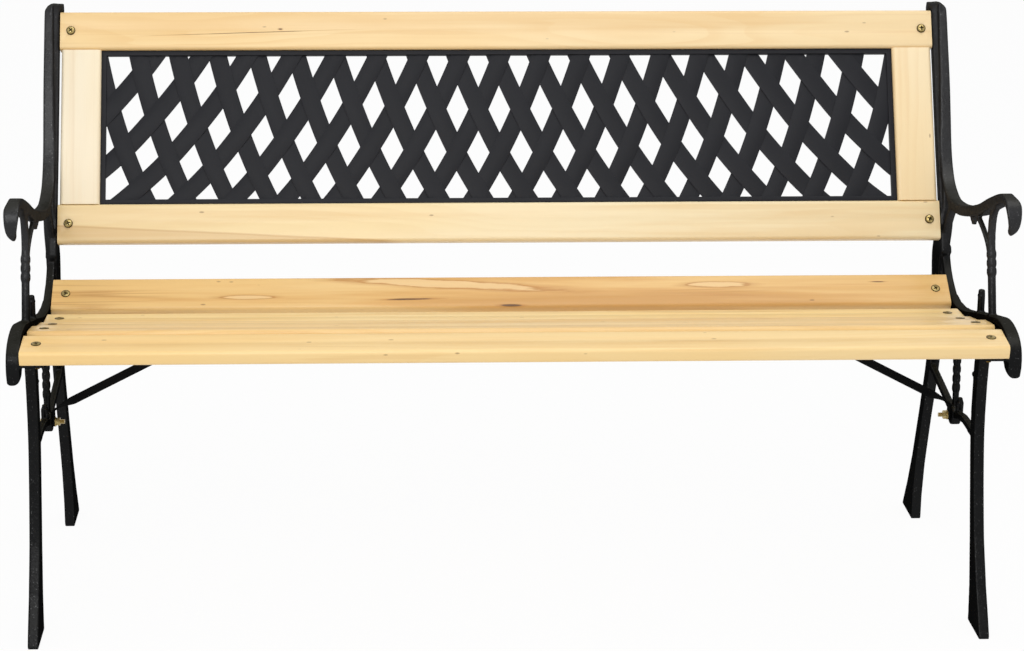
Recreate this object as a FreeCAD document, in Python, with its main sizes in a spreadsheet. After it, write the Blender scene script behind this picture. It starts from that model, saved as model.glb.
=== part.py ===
import FreeCAD, Part
import math
import os
from FreeCAD import Placement, Rotation, Vector

# Driving dimensions of the bench, in millimetres and degrees
# X runs along the seat, Y from front to back, Z up from the floor
SIZES = [
    ("overall_width", 1220.0, "outer face to outer face of the rims of the two end castings"),
    ("strap_width", 16.5, "rim, arm and post of a casting, along X"),
    ("end_gap", 0.8, "end of a board to the casting beside it"),
    ("board_width", 53.0, "every slat, rail and stile"),
    ("board_thickness", 18.0, "every slat, rail and stile"),
    ("board_edge_radius", 5.0, "rounded long edges of the boards"),
    ("bolt_from_end", 17.7, "bolt centre to the end of its board"),
    ("front_slat_y", -247.5, "middle of the slat's top face"),
    ("front_slat_z", 413.5, "middle of the slat's top face"),
    ("front_slat_tilt", 8.0, "rising to the rear"),
    ("second_slat_y", -166.5, "middle of the slat's top face"),
    ("second_slat_z", 408.0, "middle of the slat's top face"),
    ("second_slat_tilt", -9.0, "falling to the rear"),
    ("third_slat_y", -86.5, "middle of the slat's top face"),
    ("third_slat_z", 389.0, "middle of the slat's top face"),
    ("third_slat_tilt", -11.0, "falling to the rear"),
    ("fourth_slat_y", -15.5, "middle of the slat's top face"),
    ("fourth_slat_z", 375.0, "middle of the slat's top face"),
    ("fourth_slat_tilt", -3.0, "falling to the rear"),
    ("rear_slat_y", 60.5, "middle of the slat's top face"),
    ("rear_slat_z", 386.0, "middle of the slat's top face"),
    ("rear_slat_tilt", 34.0, "rising to the rear"),
    ("back_low_y", 120.9, "bolt line on the face of the bottom rail"),
    ("back_low_z", 465.2, "bolt line on the face of the bottom rail"),
    ("back_recline", 26.7, "back from upright"),
    ("rail_spacing", 264.7, "bottom rail's bolt line to the top rail's"),
    ("rail_setback", 3.4, "end of a rail inside the slats' ends"),
    ("stile_setback", 5.7, "outer edge of a stile inside the slats' ends"),
    ("dowel_diameter", 8.0, "dowels between stiles and rails"),
    ("dowel_length", 36.0, "half of it in each board"),
    ("dowel_spacing", 26.0, "between the two dowels of one end"),
    ("dowel_clearance", 0.2, "round a dowel and past its ends"),
    ("panel_thickness", 4.0, "lattice and the tongue in the grooves"),
    ("panel_border", 7.0, "visible border of the lattice panel"),
    ("border_thickness", 8.0, "visible border, front to back"),
    ("groove_depth", 6.0, "groove in rails and stiles"),
    ("groove_clearance", 0.3, "round the panel's tongue"),
    ("lattice_pitch", 57.0, "opening to opening along a row at mid height"),
    ("lattice_row_height", 59.3, "row to row at mid height"),
    ("lattice_row_growth", 3.3, "rows grow taller upwards"),
    ("lattice_drop", 7.1, "pattern centre below the panel's"),
    ("lattice_fan_height", 2400.0, "height above the panel where the columns would meet"),
    ("lattice_sag_radius", 2160.0, "rows rise towards both ends along this radius"),
    ("lattice_open_share", 0.522, "opening's share of a lattice cell"),
    ("weave_height", 1.2, "strip that passes over stands this proud"),
    ("strap_thickness", 7.0, "arm and post strap, in the plane of the casting"),
    ("rim_thickness", 9.0, "seat rim, in the plane of the casting"),
    ("post_strap_width", 10.5, "post strap at its top, along X"),
    ("post_flange_inset", 2.7, "post flange inside the straps' inner faces"),
    ("web_thickness", 8.0, "plates between the straps, along X"),
    ("web_inset", 5.0, "plates inside the casting's outer face"),
    ("leg_width", 14.0, "legs and post web, along X"),
    ("leg_inset", 1.5, "legs inside the casting's outer face"),
    ("oval_width", 11.0, "rear bar of the arm's oval, along X"),
    ("arm_overhang", 2.0, "front of the arm outside the rim's outer face"),
    ("scroll_width", 9.0, "scroll bars, along X and across"),
    ("strut_width", 6.0, "rear branch of the arm's fork, along X and across"),
    ("scroll_inset", 10.5, "middle of the scroll bars inside the rim's outer face"),
    ("lug_thickness", 5.0, "lugs that carry the boards"),
    ("lug_length", 42.0, "lugs, across the board"),
    ("lug_margin", 12.0, "bolt centre to the lug's end"),
    ("arm_crest_y", -186.5, "highest point of the arm"),
    ("arm_crest_z", 571.5, "highest point of the arm, middle of the strap"),
    ("front_foot_y", -178.5, "middle of the front foot"),
    ("rear_foot_y", 239.5, "middle of the rear foot"),
    ("foot_length", 62.0, "foot on the floor, front to back"),
    ("boss_y", 10.0, "boss for the brace bolt"),
    ("boss_z", 226.0, "boss for the brace bolt"),
    ("boss_diameter", 26.0, "boss for the brace bolt"),
    ("boss_length", 13.0, "boss, along X"),
    ("boss_recess", 4.5, "boss inside the casting's outer face"),
    ("bolt_diameter", 6.0, "all bolts"),
    ("bolt_clearance", 0.3, "round a bolt in its hole"),
    ("head_diameter", 12.0, "domed bolt head"),
    ("head_height", 3.6, "domed bolt head"),
    ("washer_diameter", 13.0, "washers"),
    ("washer_thickness", 1.4, "washers"),
    ("nut_width", 10.0, "across the flats of a nut"),
    ("nut_height", 5.0, "nuts"),
    ("thread_proud", 3.0, "bolt end past its nut, on the boards"),
    ("brace_thread_proud", 6.0, "bolt end past its nut, at the braces"),
    ("brace_width", 10.5, "flat bar of the braces"),
    ("brace_thickness", 3.0, "flat bar of the braces"),
    ("brace_rise_angle", 28.8, "brace above level"),
    ("brace_tab_height", 16.0, "bolt centre to the start of the twist"),
    ("brace_twist_length", 34.0, "twisted stretch at each end"),
    ("brace_foot_length", 34.0, "flat end under the slat"),
    ("screw_diameter", 4.0, "wood screws"),
    ("screw_length", 14.0, "wood screws, in the slat"),
    ("screw_head_diameter", 8.0, "wood screws"),
    ("screw_head_height", 2.4, "wood screws"),
]

SLATS = ["front", "second", "third", "fourth", "rear"]
FLAT_TURN = 1e-6

doc = FreeCAD.newDocument("garden_bench")
sheet = doc.addObject("Spreadsheet::Sheet", "Sizes")
for row, (alias, value, note) in enumerate(SIZES, start=1):
    sheet.set("A%d" % row, alias)
    sheet.set("B%d" % row, str(value))
    sheet.set("C%d" % row, note)
    sheet.setAlias("B%d" % row, alias)
doc.recompute()


def size(alias):
    return float(sheet.get(alias))


# Places that several pieces share

def outer_x():
    return size("overall_width") / 2


def board_half_length():
    return outer_x() - size("strap_width") - size("end_gap")


def bolt_x():
    return board_half_length() - size("bolt_from_end")


def board_frame(y, z, tilt):
    """Middle of a board's face: X along it, Y across it, Z out of the face."""
    return Placement(Vector(0, y, z), Rotation(Vector(1, 0, 0), tilt))


def slat_frame(slat):
    return board_frame(size(slat + "_slat_y"), size(slat + "_slat_z"), size(slat + "_slat_tilt"))


def back_frame(along=0.0):
    tilt = 90 - size("back_recline")
    low = board_frame(size("back_low_y"), size("back_low_z"), tilt)
    return low.multiply(Placement(Vector(0, along, 0), Rotation()))


def side_point(frame, across, out):
    """A point of a board's frame, in the side view: world Y and Z as sketch X and Y."""
    place = frame.multVec(Vector(0, across, out))
    return Vector(place.y, place.z, 0)


def seat(slat, across, out):
    return side_point(slat_frame(slat), across, out)


def back(along, out):
    return side_point(back_frame(), along, out)


# Smooth bands in the plane of a casting

def left_of(direction):
    return Vector(-direction.y, direction.x, 0)


def unit(vector):
    return vector / vector.Length


def tangents(points):
    """Directions at the points: along the chord of the neighbours, and along the end spans."""
    found = [unit(points[1] - points[0])]
    for before, after in zip(points[:-2], points[2:]):
        found.append(unit(after - before))
    found.append(unit(points[-1] - points[-2]))
    return found


def biarc_joint(start, start_dir, end, end_dir):
    """Where the two tangent arcs between two points with given directions meet."""
    chord = end - start
    both = start_dir + end_dir
    spread = 2 * (1 - start_dir.dot(end_dir))
    along = chord.dot(both)
    if spread < FLAT_TURN:
        reach = chord.dot(chord) / (2 * along)
    else:
        reach = (math.sqrt(along ** 2 + spread * chord.dot(chord)) - along) / spread
    return (start + start_dir * reach + end - end_dir * reach) / 2


def smooth_arcs(points):
    """Tangent arcs through the points, two to a span: (start, its direction, end, its direction)."""
    arcs = []
    directions = tangents(points)
    for index in range(len(points) - 1):
        start, end = points[index], points[index + 1]
        joint = biarc_joint(start, directions[index], end, directions[index + 1])
        to_joint = unit(joint - start)
        turn = 2 * to_joint.dot(directions[index])
        joint_dir = unit(to_joint * turn - directions[index])
        arcs.append((start, directions[index], joint, joint_dir))
        arcs.append((joint, joint_dir, end, directions[index + 1]))
    return arcs


def arc_middle(start, start_dir, end):
    chord = end - start
    level = unit(chord)
    lean = math.atan2(level.x * start_dir.y - level.y * start_dir.x, level.dot(start_dir))
    return (start + end) / 2 + left_of(level) * (chord.Length / 2 * math.tan(lean / 2))


def edge_between(start, middle, end):
    bow = (middle - (start + end) / 2).Length
    if bow < 1e-4 * (end - start).Length:
        return Part.LineSegment(start, end)
    return Part.Arc(start, middle, end)


def band(points, half_widths, round_start=True, round_end=True):
    """Closed outline of a curved bar: its middle line, and half its width at each point."""
    left, right = [], []
    arcs = smooth_arcs(points)
    for index, (start, start_dir, end, end_dir) in enumerate(arcs):
        span, second = divmod(index, 2)
        low, high = half_widths[span], half_widths[span + 1]
        first = (low + high) / 2 if second else low
        last = high if second else (low + high) / 2
        middle = arc_middle(start, start_dir, end)
        sides = (left_of(start_dir), left_of(unit(end - start)), left_of(end_dir))
        widths = (first, (first + last) / 2, last)
        left.append([p + n * w for p, n, w in zip((start, middle, end), sides, widths)])
        right.append([p - n * w for p, n, w in zip((start, middle, end), sides, widths)])
    outline = [edge_between(*three) for three in left]
    outline.append(cap(left[-1][2], points[-1] + arcs[-1][3] * half_widths[-1], right[-1][2], round_end))
    outline += [edge_between(*reversed(three)) for three in reversed(right)]
    outline.append(cap(right[0][0], points[0] - arcs[0][1] * half_widths[0], left[0][0], round_start))
    return outline


def cap(start, tip, end, rounded):
    return Part.Arc(start, tip, end) if rounded else Part.LineSegment(start, end)


def even_band(points, width, **ends):
    return band(points, [width / 2] * len(points), **ends)


def polygon(points):
    return [Part.LineSegment(a, b) for a, b in zip(points, points[1:] + points[:1])]


def circle(center, radius):
    return [Part.Circle(center, Vector(0, 0, 1), radius)]


# Features of a body

def new_body(label):
    body = doc.addObject("PartDesign::Body", label)
    body.Label = label
    return body


def origin_plane(body, role):
    return next(plane for plane in body.Origin.OriginFeatures if plane.Role == role)


def new_sketch(body, name, role, outline, level=None):
    """Sketch on an origin plane of the body, raised along its normal to a level given in words."""
    sketch = body.newObject("Sketcher::SketchObject", name)
    sketch.AttachmentSupport = (origin_plane(body, role), [""])
    sketch.MapMode = "FlatFace"
    if level:
        sketch.setExpression("AttachmentOffset.Base.z", level)
    sketch.addGeometry(outline, False)
    return sketch


def pad(body, name, role, outline, level, length):
    """Raise an outline from its level; level and length are written with names of the sheet."""
    sketch = new_sketch(body, name + "_outline", role, outline, level)
    feature = body.newObject("PartDesign::Pad", name)
    feature.Profile = sketch
    feature.setExpression("Length", length)
    doc.recompute()
    return feature


def pocket(body, name, role, outline, level, length, reverse=False):
    sketch = new_sketch(body, name + "_outline", role, outline, level)
    before = body.Shape.Volume
    feature = body.newObject("PartDesign::Pocket", name)
    feature.Profile = sketch
    feature.Reversed = reverse
    feature.setExpression("Length", length)
    doc.recompute()
    if body.Shape.Volume >= before:
        raise RuntimeError("the pocket %s cuts nothing" % name)
    return feature


def revolve(body, name, role, outline, axis_line, level):
    """Turn an outline about a construction line of its own sketch."""
    sketch = new_sketch(body, name + "_outline", role, outline, level)
    sketch.addGeometry(axis_line, True)
    feature = body.newObject("PartDesign::Revolution", name)
    feature.Profile = sketch
    feature.ReferenceAxis = (sketch, ["Axis0"])
    feature.Angle = 360
    doc.recompute()
    return feature


def bore(body, name, frame, radius, depth):
    """Round hole down the frame's Z axis, from its origin."""
    feature = body.newObject("PartDesign::SubtractiveCylinder", name)
    feature.setExpression("Radius", radius)
    feature.setExpression("Height", depth)
    down = Placement(Vector(), Rotation(Vector(1, 0, 0), 180))
    feature.Placement = frame.multiply(down)
    doc.recompute()
    return feature


def shifted(frame, x=0.0, y=0.0, z=0.0):
    return frame.multiply(Placement(Vector(x, y, z), Rotation()))


# Boards

def board_section(grooves):
    """Section of a board: Y across, Z through it from its face; a groove is cut in each named edge."""
    half = size("board_width") / 2
    deep = size("board_thickness")
    middle = deep / 2
    slot = (size("panel_thickness") + 2 * size("groove_clearance")) / 2
    bottom = half - size("groove_depth") - size("groove_clearance")
    corners = [Vector(-half, 0, 0), Vector(half, 0, 0)]
    if "upper" in grooves:
        corners += [Vector(half, slot - middle, 0), Vector(bottom, slot - middle, 0)]
        corners += [Vector(bottom, -slot - middle, 0), Vector(half, -slot - middle, 0)]
    corners += [Vector(half, -deep, 0), Vector(-half, -deep, 0)]
    if "lower" in grooves:
        corners += [Vector(-half, -slot - middle, 0), Vector(-bottom, -slot - middle, 0)]
        corners += [Vector(-bottom, slot - middle, 0), Vector(-half, slot - middle, 0)]
    return polygon(corners)


def edge_names(shape, wanted):
    return ["Edge%d" % number for number, edge in enumerate(shape.Edges, start=1) if wanted(edge)]


def round_long_edges(body, base):
    """Round the four outer edges that run the board's length."""
    half, deep = size("board_width") / 2, size("board_thickness")

    def outer_and_long(edge):
        box = edge.BoundBox
        at_side = abs(abs(box.YMin) - half) < 1e-6 and box.YLength < 1e-6
        at_face = box.ZLength < 1e-6 and min(abs(box.ZMin), abs(box.ZMin + deep)) < 1e-6
        return at_side and at_face

    fillet = body.newObject("PartDesign::Fillet", body.Name + "_rounding")
    fillet.Base = (base, edge_names(base.Shape, outer_and_long))
    fillet.setExpression("Radius", "Sizes.board_edge_radius")
    doc.recompute()
    return fillet


def board(label, half_length, frame, grooves=()):
    """A board with rounded long edges; half_length is written with names of the sheet."""
    body = new_body(label)
    plain = pad(body, label + "_blank", "YZ_Plane", board_section(grooves),
                "-(%s)" % half_length, "2 * (%s)" % half_length)
    round_long_edges(body, plain)
    body.Placement = frame
    doc.recompute()
    return body


HALF_LENGTH = "Sizes.overall_width / 2 - Sizes.strap_width - Sizes.end_gap"
RAIL_HALF = HALF_LENGTH + " - Sizes.rail_setback"
BOLT_X = "(" + HALF_LENGTH + " - Sizes.bolt_from_end)"
BOLT_HOLE = "Sizes.bolt_diameter / 2 + Sizes.bolt_clearance"


def drill_for_bolts(body):
    holes = []
    for side in (-1, 1):
        holes += circle(Vector(side * bolt_x(), 0, 0), size("bolt_diameter") / 2 + size("bolt_clearance"))
    pocket(body, body.Name + "_bolt_holes", "XY_Plane", holes, None, "Sizes.board_thickness")


def stile_middle_x():
    return board_half_length() - size("stile_setback") - size("board_width") / 2


def stile_half_length():
    return (size("rail_spacing") - size("board_width")) / 2


def dowel_hole_radius():
    return size("dowel_diameter") / 2 + size("dowel_clearance")


DOWEL_DEPTH = "Sizes.dowel_length / 2 + Sizes.dowel_clearance"


def dowel_offsets():
    return (-size("dowel_spacing") / 2, size("dowel_spacing") / 2)


def make_rail(label, along, groove):
    body = board(label, RAIL_HALF, back_frame(along), [groove])
    drill_for_bolts(body)
    middle = -size("board_thickness") / 2
    holes = []
    for side in (-1, 1):
        for offset in dowel_offsets():
            center = Vector(side * stile_middle_x() + offset, middle, 0)
            holes += circle(center, dowel_hole_radius())
    upper = groove == "upper"
    level = "-Sizes.board_width / 2" if upper else "Sizes.board_width / 2"
    pocket(body, label + "_dowel_holes", "XZ_Plane", holes, level, DOWEL_DEPTH, reverse=upper)
    return body


STILE_HALF = "(Sizes.rail_spacing - Sizes.board_width) / 2"


def make_stile(label, side):
    """Upright of the back frame; its groove faces the panel."""
    turned = Placement(Vector(), Rotation(Vector(0, 0, 1), 90))
    frame = shifted(back_frame(size("rail_spacing") / 2), x=side * stile_middle_x()).multiply(turned)
    body = board(label, STILE_HALF, frame, ["upper" if side > 0 else "lower"])
    middle = -size("board_thickness") / 2
    for end, level, reverse in ((-1, "-(%s)" % STILE_HALF, True), (1, STILE_HALF, False)):
        holes = []
        for offset in dowel_offsets():
            holes += circle(Vector(offset, middle, 0), dowel_hole_radius())
        name = "%s_dowel_holes_%s" % (label, "low" if end < 0 else "high")
        pocket(body, name, "YZ_Plane", holes, level, DOWEL_DEPTH, reverse=reverse)
    return body


# Lattice panel: rows of diamonds that rise to both ends and fan out downwards

def panel_half():
    """Half of the visible panel, along X and up the back."""
    half_x = stile_middle_x() - size("board_width") / 2
    return half_x, stile_half_length()


def lattice_point(column, row):
    """Place of a point of the plain lattice: columns one pitch apart, rows one row height apart."""
    growth = size("lattice_row_growth") * row ** 2
    up = size("lattice_row_height") * row + growth - size("lattice_drop")
    x = size("lattice_pitch") * column * (1 - up / size("lattice_fan_height"))
    return Vector(x, up + x ** 2 / (2 * size("lattice_sag_radius")), 0)


def clipped(points, half_x, half_y):
    """The part of a polygon inside a rectangle about the origin."""
    for inside in (lambda p: half_x - p.x, lambda p: half_x + p.x,
                   lambda p: half_y - p.y, lambda p: half_y + p.y):
        kept = []
        for here, ahead in zip(points, points[1:] + points[:1]):
            room, room_ahead = inside(here), inside(ahead)
            if room >= 0:
                kept.append(here)
            if room * room_ahead < 0:
                kept.append(here + (ahead - here) * (room / (room - room_ahead)))
        points = kept
    return points


def area(points):
    return abs(sum(a.x * b.y - b.x * a.y for a, b in zip(points, points[1:] + points[:1]))) / 2


LATTICE_ROWS = (2.5, 1.5, 0.5, -0.5, -1.5, -2.5, -3.5)
SMALLEST_OPENING = 12.0


def lattice_columns(row, shift):
    """Columns of a row that can reach the panel; openings lie on whole columns in every other row."""
    reach = int(panel_half()[0] / size("lattice_pitch")) + 2
    start = 0.0 if round(row - 0.5) % 2 == 0 else 0.5
    return [start + shift + step for step in range(-reach, reach + 1)]


UPPER_CORNER, LOWER_CORNER = (9.0, 0.5), (8.5, -2.5)


def opening(column, row):
    """Corners of a see-through diamond; no strip crosses the panel's four corners, so there it runs on."""
    tall = size("lattice_open_share")
    wide = math.copysign(tall / 2, column)
    top, bottom = lattice_point(column, row + tall), lattice_point(column, row - tall)
    outer, inner = lattice_point(column + wide, row), lattice_point(column - wide, row)
    if (abs(column), row) == UPPER_CORNER:
        outer = outer * 2 - bottom
    if (abs(column), row) == LOWER_CORNER:
        outer, bottom = outer * 2 - top, bottom * 2 - inner
    return [top, outer, bottom, inner]


def lattice_openings():
    """Outlines of the see-through diamonds, cut off at the border."""
    half_x, half_y = [half - size("panel_border") for half in panel_half()]
    outlines = []
    for row in LATTICE_ROWS:
        for column in lattice_columns(row, 0.0):
            corners = clipped(opening(column, row), half_x, half_y)
            if len(corners) > 2 and area(corners) > SMALLEST_OPENING:
                outlines += polygon(corners)
    return outlines


OVER_REACH = 0.5
SMALLEST_TILE = 40.0


def woven_tiles():
    """Raised lengths of strip, where one strip passes over the other: it alternates from row to row."""
    half_x, half_y = [half - size("panel_border") for half in panel_half()]
    half_strip = (1 - size("lattice_open_share")) / 2
    outlines = []
    for row in LATTICE_ROWS:
        lean = 1 if round(row - 0.5) % 2 else -1
        for column in lattice_columns(row, 0.5):
            corners = []
            for run, across in ((-1, -1), (1, -1), (1, 1), (-1, 1)):
                along, side = run * OVER_REACH, across * half_strip
                corners.append(lattice_point(column + lean * (along + side) / 2, row + along - side))
            corners = clipped(corners, half_x, half_y)
            if len(corners) > 2 and area(corners) > SMALLEST_TILE:
                outlines += polygon(corners)
    return outlines


def rectangle(half_x, half_y):
    return polygon([Vector(-half_x, -half_y, 0), Vector(half_x, -half_y, 0),
                    Vector(half_x, half_y, 0), Vector(-half_x, half_y, 0)])


def make_lattice_panel():
    body = new_body("lattice_panel")
    half_x, half_y = panel_half()
    tongue = size("groove_depth")
    inner_x, inner_y = half_x - size("panel_border"), half_y - size("panel_border")
    slack = size("groove_clearance")
    pad(body, "tongue_plate", "XY_Plane", rectangle(half_x + tongue, half_y + tongue),
        "-Sizes.panel_thickness / 2", "Sizes.panel_thickness")
    frame = rectangle(half_x - slack, half_y - slack) + rectangle(inner_x, inner_y)
    pad(body, "border", "XY_Plane", frame, "-Sizes.border_thickness / 2", "Sizes.border_thickness")
    pad(body, "weave", "XY_Plane", woven_tiles(), "Sizes.panel_thickness / 2", "Sizes.weave_height")
    pocket(body, "diamonds", "XY_Plane", lattice_openings(), "Sizes.panel_thickness / 2 + Sizes.weave_height",
           "Sizes.panel_thickness + Sizes.weave_height")
    middle = back_frame(size("rail_spacing") / 2)
    body.Placement = shifted(middle, z=-size("board_thickness") / 2)
    doc.recompute()
    return body


# End casting

STRAP_LEVEL = "Sizes.overall_width / 2 - Sizes.strap_width"
WEB_LEVEL = "Sizes.overall_width / 2 - Sizes.web_inset - Sizes.web_thickness"
LEG_LEVEL = "Sizes.overall_width / 2 - Sizes.leg_inset - Sizes.leg_width"
SCROLL_MIDDLE = "Sizes.overall_width / 2 - Sizes.scroll_inset"
SCROLL_LEVEL = SCROLL_MIDDLE + " - Sizes.scroll_width / 2"
LUG_LEVEL = BOLT_X + " - Sizes.lug_margin"
LUG_REACH = WEB_LEVEL + " + Sizes.web_thickness / 2 - (" + LUG_LEVEL + ")"
BELOW_FLOOR = 24.0


def strap(body, name, outline):
    pad(body, name, "YZ_Plane", outline, STRAP_LEVEL, "Sizes.strap_width")


def plate(body, name, outline):
    pad(body, name, "YZ_Plane", outline, WEB_LEVEL, "Sizes.web_thickness")


def leg(body, name, outline):
    pad(body, name, "YZ_Plane", outline, LEG_LEVEL, "Sizes.leg_width")


def scroll_bars(body, name, middle_lines):
    outlines = []
    for points in middle_lines:
        outlines += even_band(points, size("scroll_width"))
    pad(body, name, "YZ_Plane", outlines, SCROLL_LEVEL, "Sizes.scroll_width")


def rim_points():
    """Middle line of the seat rim: from the nose at the front, along the slat ends, to the rear slat."""
    nose = [seat("front", -18, -42), seat("front", -19, -25), seat("front", -10, -9), seat("front", 11, -1)]
    level = [seat("front", 45, -2), seat("second", 0, 3), seat("third", 0, 3), seat("fourth", 0, -1)]
    return nose + level + [seat("rear", -37, 5), seat("rear", -10, -8)]


def oval_points():
    """Middle line of the rear bar of the arm's oval, from the rim up to the arm."""
    rise = [seat("rear", -37, 5), seat("rear", -10, -8), seat("rear", 23, -13), seat("rear", 53, -9)]
    return rise + [back(-27, -15), back(-13, -4), back(-2, 15), back(6, 35), back(9, 50)]


def nose_outline():
    """Solid nose behind the rim's front end, cut away on a slope at its lower rear."""
    return polygon([seat("front", -15.6, -45.4), seat("front", 15, -27), seat("front", 14, -4),
                    seat("front", -9, -12), seat("front", -18, -25)])


def bearer_points():
    """Middle line of the bar under the slats, level with their lugs."""
    below = -size("board_thickness") - size("lug_thickness") / 2
    front = [seat("front", -14, below), seat("front", 10, below)]
    middle = [seat(slat, 0, below) for slat in ("second", "third", "fourth")]
    return front + middle + [seat("rear", -8, below), seat("rear", 24, below), hip()]


def hip():
    """Where post, seat and rear leg meet."""
    return seat("rear", 70, -66)


def post_points():
    """Middle line of the post's front strap, from its curled top down to the arm's dip."""
    top = size("rail_spacing")
    curl = [back(top + 29, -15), back(top + 35.5, -8), back(top + 32, 0.5)]
    upright = [back(top + 18, 3.5), back(top - 10, 4), back(186, 4), back(142, 0.5), back(100, -3)]
    sweep = [back(72, -0.5), back(47, 8.5), back(25, 27.5), arm_dip()]
    return curl + upright + sweep


def arm_dip():
    return back(12, 47)


def arm_crest():
    return Vector(size("arm_crest_y"), size("arm_crest_z"), 0)


def arm_points():
    """Middle line of the arm from its dip to its crest, rising slowly, then faster."""
    dip, crest = arm_dip(), arm_crest()
    rise = [(0.21, 0.1), (0.52, 0.4), (0.76, 0.745), (0.93, 0.965)]
    reach = crest - dip
    return [dip + Vector(reach.x * along, reach.y * up, 0) for along, up in rise] + [crest]


def arm_curl_points():
    """Middle line of the tongue that hangs from the arm's front end."""
    crest = arm_crest()
    return [crest + Vector(y, z, 0) for y, z in ((-16, -5), (-24, -17), (-23, -31), (-16, -40))]


POST_POINTS = 12
RIM_TAPER_FROM = -30.0
ARM_TAPER_TO = -120.0
PAST = 3.0
SIDE_STEP = 0.6
ARM_HALF_DEPTHS = [3.5] * 9 + [3.6, 4.4, 6.2, 7.0, 7.0, 6.8, 6.2, 5.2, 4.4, 4.0, 3.8, 3.6]


def strap_line():
    """Middle line of post and arm: where it is deeper it lies lower, so the top face stays smooth."""
    line = post_points() + arm_points()
    for number, point in enumerate(line):
        extra = ARM_HALF_DEPTHS[number] - size("strap_thickness") / 2
        line[number] = point - Vector(0, extra, 0)
    return line + arm_curl_points()


def leg_points(top, foot, bows):
    """Leg from top to foot; each bow is a share of the way down and how far the leg stands off the line."""
    reach = foot - top
    points = [top]
    for share, bow in bows:
        points.append(top + reach * share + Vector(bow, 0, 0))
    below = Vector(reach.x * BELOW_FLOOR / abs(reach.y), -BELOW_FLOOR, 0)
    return points + [foot, foot + below]


FRONT_BOWS = [(0.13, 15), (0.25, 24), (0.36, 28), (0.52, 25), (0.7, 18), (0.86, 8)]
FRONT_HALF_WIDTHS = [13, 12, 11.5, 11, 10.5, 12, 19]
REAR_BOWS = [(0.14, -10), (0.33, -18), (0.55, -11), (0.76, -4), (0.89, -1)]
REAR_HALF_WIDTHS = [20, 15, 12, 11, 13, 20]


def make_spine(body):
    """Post web, hip and rear leg in one sweep, cut off at the floor, and the bearer that joins them."""
    top = size("rail_spacing")
    foot = size("foot_length") / 2
    post = [back(top + 24, -12), back(200, -12), back(100, -14), back(20, -13), seat("rear", 92, -38)]
    rear_leg = leg_points(hip(), Vector(size("rear_foot_y"), 0, 0), REAR_BOWS)
    half_widths = [11, 13, 13, 15, 23] + REAR_HALF_WIDTHS + [foot, foot + 8]
    leg(body, "spine", band(post + rear_leg, half_widths))
    pad(body, "bearer", "YZ_Plane", even_band(bearer_points(), size("lug_thickness") + 2),
        LEG_LEVEL, "Sizes.scroll_width")


def front_leg_points():
    top = seat("third", -22, -size("board_thickness"))
    return leg_points(top, Vector(size("front_foot_y"), 0, 0), FRONT_BOWS)


def make_front_leg(body):
    foot = size("foot_length") / 2
    leg(body, "front_leg", band(front_leg_points(), FRONT_HALF_WIDTHS + [foot, foot + 8]))
    far = size("overall_width")
    pocket(body, "floor_cut", "XY_Plane", rectangle(far, far), None, "Sizes.overall_width")


def make_arm(body):
    """Post strap and arm in one sweep; the post strap narrows upwards on its inner side."""
    strap(body, "post_and_arm", band(strap_line(), ARM_HALF_DEPTHS))
    inner = outer_x() - size("strap_width")
    low, high = back(60, 0).y, back(size("rail_spacing") + 60, 0).y
    narrow = outer_x() - size("post_strap_width")
    wedge = [Vector(inner, low, 0), Vector(narrow, high, 0), Vector(inner - PAST, high, 0),
             Vector(inner - PAST, low, 0)]
    pocket(body, "post_taper", "XZ_Plane", polygon(wedge), "-Sizes.rear_slat_y", "Sizes.overall_width")


def make_post_flange(body):
    """Inner flange beside the rails' ends, behind the strap, and the lip over the top rail."""
    top, gap = size("rail_spacing"), 0.5
    flange = [back(top + 26, -10), back(200, -10), back(100, -11), back(20, -10), back(-40, -14)]
    inner = STRAP_LEVEL + " - Sizes.post_flange_inset"
    pad(body, "post_flange", "YZ_Plane", band(flange, [7, 8, 8, 8, 8]), inner, "Sizes.oval_width")
    over = size("board_width") / 2 + gap
    lip = [back(top + over + 3.2, -13), back(top + over + 5, -7), back(top + over + 3.2, -1)]
    pad(body, "post_lip", "YZ_Plane", even_band(lip, 5.4), STRAP_LEVEL + " - Sizes.strap_width / 2",
        "Sizes.strap_width")


def make_straps(body):
    rim, oval = rim_points(), oval_points()
    strap(body, "rim", even_band(rim, size("rim_thickness")))
    strap(body, "nose", nose_outline())
    taper_rim(body)
    pad(body, "oval_bar", "YZ_Plane", even_band(oval, size("rim_thickness") - 1), STRAP_LEVEL, "Sizes.oval_width")
    around = (rim + oval[2:])[1:11]
    plate(body, "seat_web", polygon(around + list(reversed(bearer_points()[:-1]))))


def taper_rim(body):
    """The rim narrows on its outer side, to the width of the oval's rear bar."""
    end = rim_points()[-1]
    narrow = outer_x() - size("strap_width") + size("oval_width")
    wedge = [Vector(outer_x(), RIM_TAPER_FROM, 0), Vector(outer_x() + PAST, RIM_TAPER_FROM, 0),
             Vector(outer_x() + PAST, end.x + 2 * PAST, 0), Vector(narrow, end.x + 2 * PAST, 0)]
    pocket(body, "rim_taper", "XY_Plane", polygon(wedge), "Sizes.rear_slat_z + Sizes.rim_thickness",
           "4 * Sizes.rim_thickness")


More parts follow.
